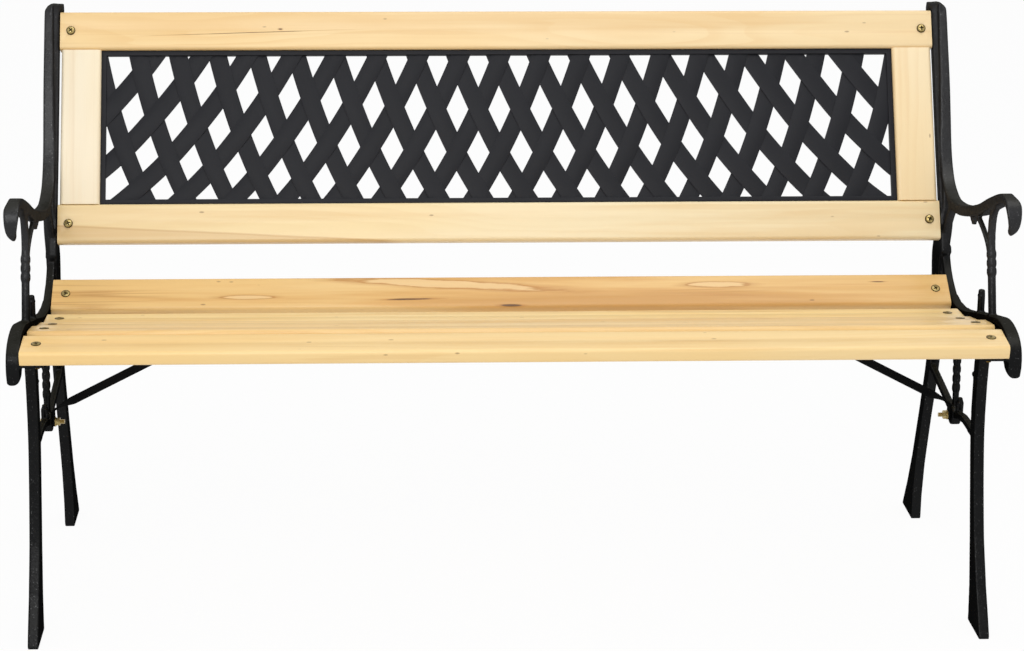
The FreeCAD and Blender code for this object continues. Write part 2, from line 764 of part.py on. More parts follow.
def widen_arm(body):
    """The arm widens on its outer side, from its dip to its front, and tongue and nose end round."""
    first = POST_POINTS
    side = band(strap_line()[first:], [half - SIDE_STEP for half in ARM_HALF_DEPTHS[first:]])
    pad(body, "arm_side", "YZ_Plane", side, "Sizes.overall_width / 2", "Sizes.arm_overhang")
    start, far = strap_line()[first].x + 4 * PAST, outer_x() + size("arm_overhang")
    wedge = [Vector(outer_x(), start, 0), Vector(far, ARM_TAPER_TO, 0),
             Vector(far + PAST, ARM_TAPER_TO, 0), Vector(far + PAST, start, 0)]
    pocket(body, "arm_taper", "XY_Plane", polygon(wedge), "Sizes.arm_crest_z + 30", "120")


def corner_outside(corner, run, rise):
    """What a rounded corner leaves outside, in the front view: world X and Z; run and rise point inwards."""
    side, level = corner + Vector(0, rise, 0), corner + Vector(run, 0, 0)
    bulge = 1 - math.sqrt(0.5)
    middle = corner + Vector(run * bulge, rise * bulge, 0)
    past_x, past_z = math.copysign(PAST, -run), math.copysign(PAST, -rise)
    outside = [level, level + Vector(0, past_z, 0), corner + Vector(past_x, past_z, 0),
               side + Vector(past_x, 0, 0), side]
    edges = [Part.LineSegment(a, b) for a, b in zip(outside[:-1], outside[1:])]
    return edges + [Part.Arc(side, middle, level)]


def round_strap_ends(body):
    """Tongue and nose narrow to blunt tips, and the arm's crest and the post's top have round shoulders."""
    inner, outer = outer_x() - size("strap_width"), outer_x() + size("arm_overhang")
    tongue, nose = strap_line()[-1], rim_points()[0]
    tongue_low = tongue.y - ARM_HALF_DEPTHS[-1]
    nose_low = nose.y - size("rim_thickness") / 2
    crest_top = size("arm_crest_z") + size("strap_thickness") / 2
    tip = corner_outside(Vector(inner, tongue_low, 0), 5, 10)
    tip += corner_outside(Vector(outer, tongue_low, 0), -12, 21)
    pocket(body, "tongue_end", "XZ_Plane", tip, "-Sizes.arm_crest_y + 50", "60")
    shoulders = corner_outside(Vector(inner, crest_top, 0), 4, -4)
    shoulders += corner_outside(Vector(outer, crest_top, 0), -9, -9)
    pocket(body, "crest_shoulders", "XZ_Plane", shoulders, "-Sizes.arm_crest_y + 50", "100")
    post_top = back(size("rail_spacing") + 35.5, -8).y + size("strap_thickness") / 2
    pocket(body, "post_shoulder", "XZ_Plane", corner_outside(Vector(outer_x(), post_top, 0), -7, -10),
           "-Sizes.rear_slat_y", "Sizes.overall_width")
    end = corner_outside(Vector(inner, nose_low, 0), 8, 14)
    end += corner_outside(Vector(outer_x(), nose_low, 0), -4, 6)
    pocket(body, "nose_end", "XZ_Plane", end, "-Sizes.front_slat_y + 45", "60")


def lug_outline(frame):
    half, face = size("lug_length") / 2, -size("board_thickness")
    under = face - size("lug_thickness")
    return polygon([side_point(frame, -half, face), side_point(frame, half, face),
                    side_point(frame, half, under), side_point(frame, -half, under)])


def lug_frames():
    frames = {slat: slat_frame(slat) for slat in SLATS}
    frames["bottom_rail"] = back_frame()
    frames["top_rail"] = back_frame(size("rail_spacing"))
    return frames


def make_lugs(body):
    """Flat lugs behind and below the boards, each drilled for its bolt."""
    outlines = []
    for frame in lug_frames().values():
        outlines += lug_outline(frame)
    pad(body, "lugs", "YZ_Plane", outlines, LUG_LEVEL, LUG_REACH)
    for name, frame in lug_frames().items():
        hole = shifted(frame, x=bolt_x(), z=-size("board_thickness"))
        bore(body, name + "_hole", hole, BOLT_HOLE, "Sizes.lug_thickness")


def turned_bar(body, name, low, high, profile):
    """Round bar between two points, with its radius at shares of its length."""
    axis = unit(high - low)
    side = left_of(axis)
    reach = (high - low).Length
    outer = [low + axis * (share * reach) + side * radius for share, radius in profile]
    edges = [Part.LineSegment(low, outer[0])]
    for first, second in zip(outer[:-1], outer[1:]):
        edges.append(Part.LineSegment(first, second))
    edges.append(Part.LineSegment(outer[-1], high))
    edges.append(Part.LineSegment(high, low))
    revolve(body, name, "YZ_Plane", edges, Part.LineSegment(low, high), SCROLL_MIDDLE)


def beads(start, pitch, count, neck, bead):
    """Profile of ring beads along a bar, as shares of its length and radii."""
    profile = []
    for number in range(count):
        place = start + number * pitch
        low, high = place - 0.32 * pitch, place + 0.32 * pitch
        profile += [(low, neck), (low, bead), (high, bead), (high, neck)]
    return profile


def arm_fork():
    return arm_crest() + Vector(64, -78, 0)


def bud(body, name, low, high, radius):
    """Short round finger with a blunt tip."""
    turned_bar(body, name, low, high, [(0, radius), (0.78, radius), (0.78, radius * 0.7), (1, radius * 0.7)])


def boss_center():
    return Vector(size("boss_y"), size("boss_z"), 0)


def under_stem_top():
    return seat("fourth", 38, -size("board_thickness") - 6)


def make_stems(body):
    """Beaded bars: one in the arm's oval and one from the seat down to the boss."""
    thin = size("scroll_width") / 2
    turned_bar(body, "arm_stem", seat("second", 15, 2), arm_fork(),
               [(0, thin * 1.15)] + beads(0.65, 0.12, 3, thin * 1.15, thin * 1.4) + [(1, thin * 1.15)])
    turned_bar(body, "under_stem", boss_center(), under_stem_top(),
               [(0, thin)] + beads(0.3, 0.1, 5, thin, thin * 1.25) + [(0.82, thin), (0.82, thin * 1.5), (1, thin * 1.5)])


def make_boss(body):
    pad(body, "boss", "YZ_Plane", circle(boss_center(), size("boss_diameter") / 2),
        "Sizes.overall_width / 2 - Sizes.boss_recess - Sizes.boss_length", "Sizes.boss_length")


def drill_boss(body):
    mouth = Vector(outer_x(), size("boss_y"), size("boss_z"))
    frame = Placement(mouth, Rotation(Vector(0, 1, 0), 90))
    bore(body, "boss_hole", frame, BOLT_HOLE, "Sizes.boss_recess + Sizes.boss_length")


def make_scrollwork(body):
    """Branches and struts; bars that meet belong to different sets."""
    fork, boss = arm_fork(), boss_center()
    rear_end = leg_points(hip(), Vector(size("rear_foot_y"), 0, 0), REAR_BOWS)[2]
    front_end = front_leg_points()[3] + Vector(0, -3, 0)
    branches = [
        [fork, fork + Vector(3, 22, 0), fork + Vector(-2, 44, 0), fork + Vector(-22, 62, 0)],
        [boss, boss + Vector(70, 10, 0), rear_end],
    ]
    rear_branch = [fork - Vector(0, 9, 0), fork + Vector(17, 3.5, 0), fork + Vector(50, 15.5, 0),
                   fork + Vector(92, 24, 0)]
    scroll_bars(body, "branches", branches)
    scroll_bars(body, "front_strut", [[boss, boss + Vector(-50, 12, 0), front_end]])
    pad(body, "rear_branch", "YZ_Plane", even_band(rear_branch, size("strut_width")),
        SCROLL_LEVEL, "Sizes.strut_width")


def make_buds(body):
    """Fingers and knobs that grow out of the bars."""
    fork, boss, stem_top = arm_fork(), boss_center(), under_stem_top()
    bud(body, "leaf", seat("third", -4, 0), seat("third", -10, 38), 4.3)
    bud(body, "arm_bud", fork + Vector(99, 24, 0), fork + Vector(95, 3, 0), 4.7)
    bud(body, "boss_bud", boss + Vector(-22, 6, 0), boss + Vector(-24, 32, 0), 5.2)
    bud(body, "stem_bud", stem_top + Vector(-25, 4, 0), stem_top + Vector(-21, -22, 0), 5.2)
    leg_middle = front_leg_points()[1]
    bud(body, "leg_bud", leg_middle + Vector(0, -12, 0), leg_middle + Vector(28, -14, 0), 4.6)
    lower, upper = oval_points()[3:5]
    along = unit(upper - lower)
    knob = lower + along * 17
    turned_bar(body, "oval_knob", knob - along * 5, knob + along * 5, [(0, 6.8), (1, 6.8)])


def make_scroll_body():
    """Stems, branches, struts and buds of an end, before they are joined to it."""
    body = new_body("scrollwork")
    body.AllowCompound = True
    make_stems(body)
    make_scrollwork(body)
    make_buds(body)
    return body


def join(body, other):
    boolean = body.newObject("PartDesign::Boolean", other.Name + "_joined")
    boolean.Type = "Fuse"
    boolean.setObjects([other])
    doc.recompute()


def make_end_castings():
    scrollwork = make_scroll_body()
    body = new_body("right_end_casting")
    make_arm(body)
    make_spine(body)
    make_post_flange(body)
    make_lugs(body)
    make_front_leg(body)
    make_straps(body)
    make_boss(body)
    widen_arm(body)
    round_strap_ends(body)
    join(body, scrollwork)
    drill_boss(body)
    mirrored = doc.addObject("Part::Mirroring", "left_end_casting")
    mirrored.Label = "left_end_casting"
    mirrored.Source = body
    mirrored.Normal = (1, 0, 0)
    doc.recompute()
    return [body, mirrored]


# Fasteners: one of each kind is modelled and repeated

def make_bolt(label, grip, proud):
    """Bolt with a raised head: its seat at the origin, its shank down the Z axis."""
    body = new_body(label)
    head, tall = size("head_diameter") / 2, size("head_height")
    radius = size("bolt_diameter") / 2
    end = -(grip + size("washer_thickness") + size("nut_height") + proud)
    corners = [Vector(0, end, 0), Vector(radius, end, 0), Vector(radius, 0, 0), Vector(head, 0, 0),
               Vector(head * 0.5, tall, 0), Vector(0, tall, 0)]
    axis = Part.LineSegment(corners[0], corners[-1])
    revolve(body, label + "_turning", "XZ_Plane", polygon(corners), axis, None)
    return body


def make_washer():
    body = new_body("washer")
    hole = size("bolt_diameter") / 2 + size("bolt_clearance")
    ring = circle(Vector(), size("washer_diameter") / 2) + circle(Vector(), hole)
    pad(body, "washer_ring", "XY_Plane", ring, "-Sizes.washer_thickness", "Sizes.washer_thickness")
    return body


def make_nut():
    body = new_body("nut")
    corner = size("nut_width") / math.sqrt(3)
    hexagon = [Vector(corner * math.cos(math.radians(60 * side)), corner * math.sin(math.radians(60 * side)), 0)
               for side in range(6)]
    hole = size("bolt_diameter") / 2 + size("bolt_clearance") / 2
    pad(body, "nut_blank", "XY_Plane", polygon(hexagon) + circle(Vector(), hole),
        "-Sizes.nut_height", "Sizes.nut_height")
    return body


def make_dowel():
    body = new_body("dowel")
    pad(body, "dowel_rod", "XY_Plane", circle(Vector(), size("dowel_diameter") / 2),
        "-Sizes.dowel_length / 2", "Sizes.dowel_length")
    return body


def make_screw():
    """Wood screw, driven upwards: its head's seat at the origin, its point up the Z axis."""
    body = new_body("screw")
    radius, head = size("screw_diameter") / 2, size("screw_head_diameter") / 2
    deep, low = size("screw_length"), -size("screw_head_height")
    corners = [Vector(0, low, 0), Vector(head * 0.55, low, 0), Vector(head, 0, 0),
               Vector(radius, 0, 0), Vector(radius, deep - 2 * radius, 0), Vector(0, deep, 0)]
    axis = Part.LineSegment(Vector(0, low, 0), Vector(0, deep, 0))
    revolve(body, "screw_turning", "XZ_Plane", polygon(corners), axis, None)
    return body


def group(label, pattern, frames):
    """Copies of one piece at several places, kept as separate solids under one name."""
    links = []
    for number, frame in enumerate(frames, start=1):
        link = doc.addObject("App::Link", "%s_%d" % (label, number))
        link.LinkedObject = pattern
        link.Placement = frame
        links.append(link)
    compound = doc.addObject("Part::Compound", label)
    compound.Label = label
    compound.Links = links
    doc.recompute()
    return compound


def bolt_frames(board_frames, drop):
    return [shifted(frame, x=side * bolt_x(), z=-drop) for frame in board_frames for side in (-1, 1)]


def make_board_fasteners(prefix, frames, bolt, washer, nut):
    under = size("board_thickness") + size("lug_thickness")
    return [group(prefix + "_bolts", bolt, bolt_frames(frames, 0)),
            group(prefix + "_washers", washer, bolt_frames(frames, under)),
            group(prefix + "_nuts", nut, bolt_frames(frames, under + size("washer_thickness")))]


def boss_outer_x():
    return outer_x() - size("boss_recess")


def boss_inner_x():
    return boss_outer_x() - size("boss_length")


def brace_bolt_frames(x):
    """Frames at both bosses, their Z axis pointing out of the bench."""
    frames = []
    for side in (-1, 1):
        place = Vector(side * x, size("boss_y"), size("boss_z"))
        frames.append(Placement(place, Rotation(Vector(0, 1, 0), side * 90)))
    return frames


def make_brace_fasteners(washer, nut):
    grip = size("boss_length") + size("brace_thickness")
    bolt = make_bolt("brace_bolt", grip, size("brace_thread_proud"))
    under = boss_inner_x() - size("brace_thickness")
    return [group("brace_bolts", bolt, brace_bolt_frames(boss_outer_x())),
            group("brace_washers", washer, brace_bolt_frames(under)),
            group("brace_nuts", nut, brace_bolt_frames(under - size("washer_thickness")))]


# Braces: flat bar with an upright end at the boss, a twist, a sloping run, a twist back and a flat end

def brace_foot_frame():
    """Middle of the flat end, on the underside of the fourth slat."""
    return shifted(slat_frame("fourth"), z=-size("board_thickness"))


def brace_corners():
    """Where the bar's middle line turns: boss, above the boss, below the slat, and the flat end's tip."""
    thick = size("brace_thickness")
    low = Vector(boss_inner_x() - thick / 2, size("boss_y"), size("boss_z"))
    turn = low + Vector(0, 0, size("brace_tab_height"))
    under = brace_foot_frame().multVec(Vector(0, 0, -thick / 2))
    run = (under.z - turn.z) / math.tan(math.radians(size("brace_rise_angle")))
    high = Vector(turn.x - run, under.y, under.z)
    tip = high - Vector(size("brace_foot_length"), 0, 0)
    return low, turn, high, tip


def flat_section(center, along, across):
    """Closed wire of the flat bar's section, square to its run; across is its wide direction."""
    across = (across - along * across.dot(along)).normalize()
    through = along.cross(across)
    wide, thin = size("brace_width") / 2, size("brace_thickness") / 2
    corners = []
    for side, face in ((-1, -1), (1, -1), (1, 1), (-1, 1)):
        corners.append(center + across * (wide * side) + through * (thin * face))
    return Part.makePolygon(corners + corners[:1])


TWIST_STEPS = 3


def twist_sections(start, end, start_along, end_along, start_across, turn):
    """Sections of a twisted stretch: the wide side turns by the given angle about the run."""
    sections = []
    for step in range(TWIST_STEPS + 1):
        share = step / TWIST_STEPS
        along = (start_along * (1 - share) + end_along * share).normalize()
        across = Rotation(along, turn * share).multVec(start_across)
        sections.append(flat_section(start + (end - start) * share, along, across))
    return sections


def make_braces():
    low, turn, high, tip = brace_corners()
    up, level = Vector(0, 0, 1), Vector(-1, 0, 0)
    slope = (high - turn).normalize()
    half_twist = size("brace_twist_length")
    run_start, run_end = turn + slope * half_twist, high - slope * half_twist
    depth = Vector(0, 1, 0)
    lower = twist_sections(turn, run_start, up, slope, depth, 90)
    upper = twist_sections(run_end, high, slope, level, Rotation(slope, 90).multVec(depth), -90)
    foot_slope = slat_frame("fourth").Rotation.multVec(depth)
    pieces = [Part.makeLoft([flat_section(low, up, depth), lower[0]], True, True)]
    pieces.append(Part.makeLoft(lower, True, False))
    pieces.append(Part.makeLoft([lower[-1], upper[0]], True, True))
    foot_start, foot_end = [flat_section(place, level, foot_slope) for place in (high, tip)]
    pieces.append(Part.makeLoft(upper[:-1] + [foot_start], True, False))
    pieces.append(Part.makeLoft([foot_start, foot_end], True, True))
    thick = size("brace_thickness")
    eye_radius = size("washer_diameter") / 2
    eye = Part.makeCylinder(eye_radius, thick, low - Vector(thick / 2, 0, 0), Vector(1, 0, 0))
    bar = pieces[0].multiFuse(pieces[1:] + [eye])
    hole = size("bolt_diameter") / 2 + size("bolt_clearance")
    bar = bar.cut(Part.makeCylinder(hole, 2 * thick, low - Vector(thick, 0, 0), Vector(1, 0, 0)))
    for place in screw_places():
        drill = Part.makeCylinder(size("screw_diameter") / 2 + size("bolt_clearance"), 4 * thick)
        drill.Placement = shifted(place, z=-2 * thick)
        bar = bar.cut(drill)
    right = doc.addObject("Part::Feature", "right_brace")
    right.Label = "right_brace"
    right.Shape = bar.removeSplitter()
    right.Placement = Placement()
    left = doc.addObject("Part::Mirroring", "left_brace")
    left.Label = "left_brace"
    left.Source = right
    left.Normal = (1, 0, 0)
    doc.recompute()
    return [left, right]


def screw_places():
    """Frames on the right brace's flat end, at the slat's underside."""
    low, turn, high, tip = brace_corners()
    frame = brace_foot_frame()
    shares = (0.3, 0.75)
    return [shifted(frame, x=high.x + (tip.x - high.x) * share) for share in shares]


def make_brace_screws(screw):
    frames = []
    for place in screw_places():
        for side in (-1, 1):
            mirrored = shifted(brace_foot_frame(), x=side * place.Base.x, z=-size("brace_thickness"))
            frames.append(mirrored)
    return group("brace_screws", screw, frames)


def drill_for_screws(body):
    """Pilot holes in the slat's underside for the brace screws."""
    holes = []
    for place in screw_places():
        for side in (-1, 1):
            center = Vector(side * place.Base.x, 0, 0)
            holes += circle(center, size("screw_diameter") / 2 + size("bolt_clearance"))
    pocket(body, body.Name + "_screw_holes", "XY_Plane", holes, "-Sizes.board_thickness",
           "Sizes.screw_length - Sizes.brace_thickness + Sizes.bolt_clearance", reverse=True)


# The whole bench

def make_boards():
    boards = []
    for slat in SLATS:
        body = board("seat_slat_" + slat, HALF_LENGTH, slat_frame(slat))
        drill_for_bolts(body)
        if slat == "fourth":
            drill_for_screws(body)
        boards.append(body)
    boards.append(make_rail("back_top_rail", size("rail_spacing"), "lower"))
    boards.append(make_rail("back_bottom_rail", 0.0, "upper"))
    boards.append(make_stile("back_left_stile", -1))
    boards.append(make_stile("back_right_stile", 1))
    return boards


def make_stile_dowels(dowel):
    frames = []
    upright = Placement(Vector(), Rotation(Vector(1, 0, 0), -90))
    for side in (-1, 1):
        for along in (size("board_width") / 2, size("rail_spacing") - size("board_width") / 2):
            for offset in dowel_offsets():
                joint = shifted(back_frame(along), x=side * stile_middle_x() + offset,
                                z=-size("board_thickness") / 2)
                frames.append(joint.multiply(upright))
    return group("stile_dowels", dowel, frames)


def make_fasteners():
    grip = size("board_thickness") + size("lug_thickness")
    bolt, washer, nut = make_bolt("board_bolt", grip, size("thread_proud")), make_washer(), make_nut()
    seat_frames = [slat_frame(slat) for slat in SLATS]
    back_frames = [back_frame(), back_frame(size("rail_spacing"))]
    nodes = make_board_fasteners("seat", seat_frames, bolt, washer, nut)
    nodes += make_board_fasteners("back", back_frames, bolt, washer, nut)
    nodes += make_brace_fasteners(washer, nut)
    nodes.append(make_stile_dowels(make_dowel()))
    nodes.append(make_brace_screws(make_screw()))
    return nodes


def check(nodes):
    for thing in doc.Objects:
        if "Invalid" in thing.State or "Error" in thing.State:
            raise RuntimeError("%s failed: %s" % (thing.Label, thing.State))
    for node in nodes:
        if node.Shape.isNull() or not node.Shape.isValid():
            raise RuntimeError("%s has no valid shape" % node.Label)
        print("%s: %d solids, %.0f mm3" % (node.Label, len(node.Shape.Solids), node.Shape.Volume))


def write(nodes):
    os.makedirs("parts", exist_ok=True)
    for node in nodes:
        node.Shape.exportStep(os.path.join("parts", node.Label + ".step"))


bench = make_boards() + [make_lattice_panel()] + make_end_castings() + make_braces() + make_fasteners()
doc.recompute()
check(bench)
write(bench)
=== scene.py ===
import math

import bmesh
import bpy
from mathutils import Matrix, Vector


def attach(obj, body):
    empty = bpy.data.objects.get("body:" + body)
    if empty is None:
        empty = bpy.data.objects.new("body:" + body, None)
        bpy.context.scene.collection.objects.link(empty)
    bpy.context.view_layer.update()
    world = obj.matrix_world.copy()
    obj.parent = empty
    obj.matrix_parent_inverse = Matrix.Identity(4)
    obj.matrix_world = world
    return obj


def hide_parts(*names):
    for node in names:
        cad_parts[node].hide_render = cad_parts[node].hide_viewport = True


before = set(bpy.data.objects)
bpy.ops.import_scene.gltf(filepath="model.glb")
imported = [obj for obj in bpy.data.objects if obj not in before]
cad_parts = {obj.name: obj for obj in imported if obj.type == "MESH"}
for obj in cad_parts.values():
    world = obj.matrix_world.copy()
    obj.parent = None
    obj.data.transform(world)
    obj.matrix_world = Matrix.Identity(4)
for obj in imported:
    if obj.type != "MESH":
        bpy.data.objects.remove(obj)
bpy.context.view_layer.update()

# Sizes are in millimetres and degrees, and MM turns them into metres
MM = 0.001

# Where the boards lie, as in the part's own sizes: middle of the face (Y, Z) and tilt about X
SLATS = {
    "front": (-247.5, 413.5, 8.0),
    "second": (-166.5, 408.0, -9.0),
    "third": (-86.5, 389.0, -11.0),
    "fourth": (-15.5, 375.0, -3.0),
    "rear": (60.5, 386.0, 34.0),
}
BACK_LOW = (120.9, 465.2)
BACK_TILT = 90 - 26.7
RAIL_SPACING = 264.7
BOLT_X = 575.0
BOARD_THICKNESS = 18.0
LUG_THICKNESS = 5.0


def board_place(y, z, tilt, x=0.0, across=0.0, out=0.0):
    """Matrix of a place on a board's face: X along the bench, Y across the board, Z out of its face."""
    turn = Matrix.Rotation(math.radians(tilt), 4, "X")
    within = Matrix.Translation((x * MM, across * MM, out * MM))
    return Matrix.Translation((0, y * MM, z * MM)) @ turn @ within


def back_place(along=0.0, x=0.0, out=0.0):
    return board_place(*BACK_LOW, BACK_TILT, x, along, out)


# Hand tools

FLAT_FACE = 0.9
SMOOTH_ANGLE = 40
SHARP_ANGLE = 50


def only(obj):
    """Select one object and make it the active one."""
    if bpy.context.object and bpy.context.object.mode != "OBJECT":
        bpy.ops.object.mode_set(mode="OBJECT")
    bpy.ops.object.select_all(action="DESELECT")
    obj.select_set(True)
    bpy.context.view_layer.objects.active = obj
    return obj


def opened(obj):
    """Select one object and open its mesh in edit mode."""
    only(obj)
    bpy.ops.object.mode_set(mode="EDIT")
    return obj


def done(obj):
    bpy.ops.object.mode_set(mode="OBJECT")
    return obj


def started(name):
    """The primitive that was just added, under its own name, in edit mode with nothing selected."""
    obj = bpy.context.object
    obj.name = name
    obj.data.name = name
    bpy.ops.object.transform_apply(location=True, rotation=True, scale=True)
    bpy.ops.object.mode_set(mode="EDIT")
    bpy.ops.mesh.select_all(action="DESELECT")
    return obj


def pick_faces(obj, wanted):
    """Select the faces that wanted(centre, normal) says, in edit mode."""
    bpy.ops.mesh.select_mode(type="FACE")
    mesh = bmesh.from_edit_mesh(obj.data)
    for face in mesh.faces:
        face.select_set(bool(wanted(face.calc_center_median(), face.normal)))
    mesh.select_flush_mode()
    bmesh.update_edit_mesh(obj.data)


def facing_up(centre, normal):
    return normal.z > FLAT_FACE


def facing_down(centre, normal):
    return normal.z < -FLAT_FACE


def facing_up_or_down(centre, normal):
    return abs(normal.z) > FLAT_FACE


def modified(obj, kind, **settings):
    """Add a modifier, set it and apply it."""
    only(obj)
    modifier = obj.modifiers.new(kind.lower(), kind)
    for name, value in settings.items():
        setattr(modifier, name, value)
    bpy.ops.object.modifier_apply(modifier=modifier.name)
    return obj


def rounded(obj, width, segments, degrees):
    """Round the edges that are sharper than an angle."""
    return modified(obj, "BEVEL", width=width * MM, segments=segments, limit_method="ANGLE",
                    angle_limit=math.radians(degrees))


def smooth(obj, degrees):
    only(obj)
    bpy.ops.object.shade_smooth_by_angle(angle=math.radians(degrees))
    return obj


def placed(pattern, name, matrix):
    """A copy of a piece with its own mesh, moved in its mesh."""
    copy = pattern.copy()
    copy.data = pattern.data.copy()
    copy.name = copy.data.name = name
    bpy.context.scene.collection.objects.link(copy)
    copy.data.transform(matrix)
    return copy


def joined(pieces, name):
    only(pieces[0])
    for piece in pieces[1:]:
        piece.select_set(True)
    bpy.ops.object.join()
    pieces[0].name = pieces[0].data.name = name
    return pieces[0]


def fitted(obj, material, slot, *nodes):
    """Finish a piece: its material and the nodes it stands for. The slot is not used."""
    obj.data.materials.clear()
    obj.data.materials.append(material)
    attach(obj, "root")
    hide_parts(*nodes)
    return obj


def paint(node, material):
    """Give a solid that stays as it is its material."""
    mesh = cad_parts[node].data
    mesh.materials.clear()
    mesh.materials.append(material)


# Shader arithmetic

class Value:
    """A socket of a shader tree; arithmetic on it adds Math nodes."""

    def __init__(self, tree, socket):
        self.tree = tree
        self.socket = socket

    def math(self, operation, *others):
        return math_node(self.tree, operation, self, *others)

    def __add__(self, other):
        return self.math("ADD", other)

    def __sub__(self, other):
        return self.math("SUBTRACT", other)

    def __mul__(self, other):
        return self.math("MULTIPLY", other)

    def __truediv__(self, other):
        return self.math("DIVIDE", other)

    def __neg__(self):
        return self * -1

    __radd__ = __add__
    __rmul__ = __mul__

    def __rsub__(self, other):
        return math_node(self.tree, "SUBTRACT", other, self)

    def __rtruediv__(self, other):
        return math_node(self.tree, "DIVIDE", other, self)

    def smoothstep(self, low, high):
        """0 below low, 1 above high, and a soft step between."""
        return add_node(self.tree, "ShaderNodeMapRange", {"interpolation_type": "SMOOTHSTEP"},
                        Value=self, From_Min=low, From_Max=high)


def add_node(tree, kind, settings=None, output=0, **inputs):
    """One node: its settings first, then the values or links of its sockets, by name or as in0, in1."""
    node = tree.nodes.new(kind)
    for name, value in (settings or {}).items():
        setattr(node, name, value)
    for name, value in inputs.items():
        numbered = name.startswith("in") and name[2:].isdigit()
        socket = node.inputs[int(name[2:]) if numbered else name.replace("_", " ")]
        if isinstance(value, Value):
            tree.links.new(value.socket, socket)
        else:
            socket.default_value = value
    return Value(tree, node.outputs[output])


def math_node(tree, operation, *values):
    inputs = {"in%d" % number: value for number, value in enumerate(values)}
    return add_node(tree, "ShaderNodeMath", {"operation": operation}, **inputs)


def new_finish(name, **constants):
    """A material with its shader's constant sockets set; returns material, tree and shader."""
    material = bpy.data.materials.new(name)
    material.use_nodes = True
    tree = material.node_tree
    shader = tree.nodes["Principled BSDF"]
    for socket, value in constants.items():
        shader.inputs[socket.replace("_", " ")].default_value = value
    return material, tree, shader


def feed(tree, shader, **sockets):
    for name, value in sockets.items():
        tree.links.new(value.socket, shader.inputs[name.replace("_", " ")])


def object_place(tree, turn=(0, 0, 0)):
    """Object coordinates, turned."""
    place = add_node(tree, "ShaderNodeTexCoord", output="Object")
    return add_node(tree, "ShaderNodeMapping", {"vector_type": "POINT"}, Vector=place, Rotation=turn)


def axes(tree, vector):
    """The three parts of a vector."""
    first = add_node(tree, "ShaderNodeSeparateXYZ", output="X", Vector=vector)
    return [first] + [Value(tree, first.socket.node.outputs[name]) for name in ("Y", "Z")]


def scaled(tree, place, factors):
    return add_node(tree, "ShaderNodeVectorMath", {"operation": "MULTIPLY"}, in0=place, in1=factors)


def noise(tree, place, scale, detail=3.0, roughness=0.5):
    return add_node(tree, "ShaderNodeTexNoise", {"noise_dimensions": "3D"}, "Fac", Vector=place,
                    Scale=scale, Detail=detail, Roughness=roughness)


def stretched_noise(tree, place, factors, detail, roughness=0.5):
    """Noise drawn out along a board: its scale along, across and through the wood."""
    return noise(tree, scaled(tree, place, factors), 1.0, detail, roughness)


def mixed(tree, factor, first, second):
    return add_node(tree, "ShaderNodeMix", {"data_type": "RGBA", "blend_type": "MIX"}, 2,
                    in0=factor, in6=first, in7=second)


def bumped(tree, strength, depth, relief):
    """Normal of a surface with a relief of some depth."""
    return add_node(tree, "ShaderNodeBump", output="Normal", Strength=strength, Distance=depth * MM,
                    Height=relief)


def glossed(tree, shader, factor, roughness, normal):
    """Even gloss over a shader: unlike the shader's own, it does not grow at a glancing angle."""
    gloss = add_node(tree, "ShaderNodeBsdfAnisotropic", Color=WHITE, Roughness=roughness, Normal=normal)
    under = Value(tree, shader.outputs["BSDF"])
    blend = add_node(tree, "ShaderNodeMixShader", in0=factor, in1=under, in2=gloss)
    tree.links.new(blend.socket, tree.nodes["Material Output"].inputs["Surface"])


# Colours

WHITE = (1, 1, 1, 1)
PALE_HEART = (0.92, 0.68, 0.35, 1)
SPLIT_BROWN = (0.085, 0.040, 0.012, 1)
SPECK_BROWN = (0.20, 0.095, 0.034, 1)
LATE_WOOD = (0.84, 0.70, 0.52)
VEIN_WOOD = (0.58, 0.40, 0.23)
BLOND_WOOD = (1, 1.06, 1.22)
CASTING_BLACK, CASTING_CHARCOAL = (0.0016, 0.0018, 0.0021, 1), (0.0036, 0.0038, 0.0040, 1)
CASTING_GRAIN = (0.012, 0.012, 0.0115, 1)
# Painted shade for the legs' inward-facing sides
CASTING_PAINTED_SHADE = (0.0012, 0.0012, 0.0012, 1)
# Painted light for the castings above the seat
CASTING_PAINTED_LIGHT = (0.025, 0.025, 0.0275, 1)
# Painted sheen for upward faces
CASTING_TOP_SHEEN = (0.024, 0.023, 0.0165, 1)
PLASTIC_BLACK, PLASTIC_CHARCOAL = (0.0085, 0.0088, 0.0115, 1), (0.014, 0.0145, 0.018, 1)
BAR_BLACK, BAR_CHARCOAL = (0.0022, 0.0023, 0.0026, 1), (0.0045, 0.0045, 0.0047, 1)
ZINC_BROWN, ZINC_YELLOW = (0.36, 0.26, 0.09, 1), (0.56, 0.45, 0.20, 1)
# Tarnished tone; on the seat bolts more of it is painted shade
ZINC_TARNISH_AND_SHADE = (0.11, 0.07, 0.025, 1)
# Painted shade on the bolt heads' rims and in their recesses
ZINC_PAINTED_SHADE = (0.02, 0.014, 0.005, 1)
FLOOR_PALE = (0.92, 0.92, 0.92, 1)


def tinted(pale, factors):
    return (*[part * factor for part, factor in zip(pale, factors)], 1)


# Materials

def oval_mark(tree, place, middle, half, slope):
    """How far a place is from the middle of a long, ragged oval in the grain: about 1 on its rim."""
    along, across, _ = axes(tree, place)
    along = (along - middle[0] * MM) / (half[0] * MM)
    across = (across - middle[1] * MM) / (half[1] * MM) - along * (slope * half[0] / half[1])
    ragged = stretched_noise(tree, place, (22, 190, 190), 4.0, 0.6)
    return along * along + across * across + ragged * 1.8 - 0.9


def heart_line(tree, place, start, slope, length):
    """Height above a wavy line from a board's left end, and 1 along its length."""
    along, across, _ = axes(tree, place)
    along = along - start[0] * MM
    waver = stretched_noise(tree, place, (5, 40, 40), 2.0)
    above = across - start[1] * MM - along * slope + (waver - 0.5) * 0.004
    return above, 1 - along.smoothstep(length * 0.9 * MM, length * MM)


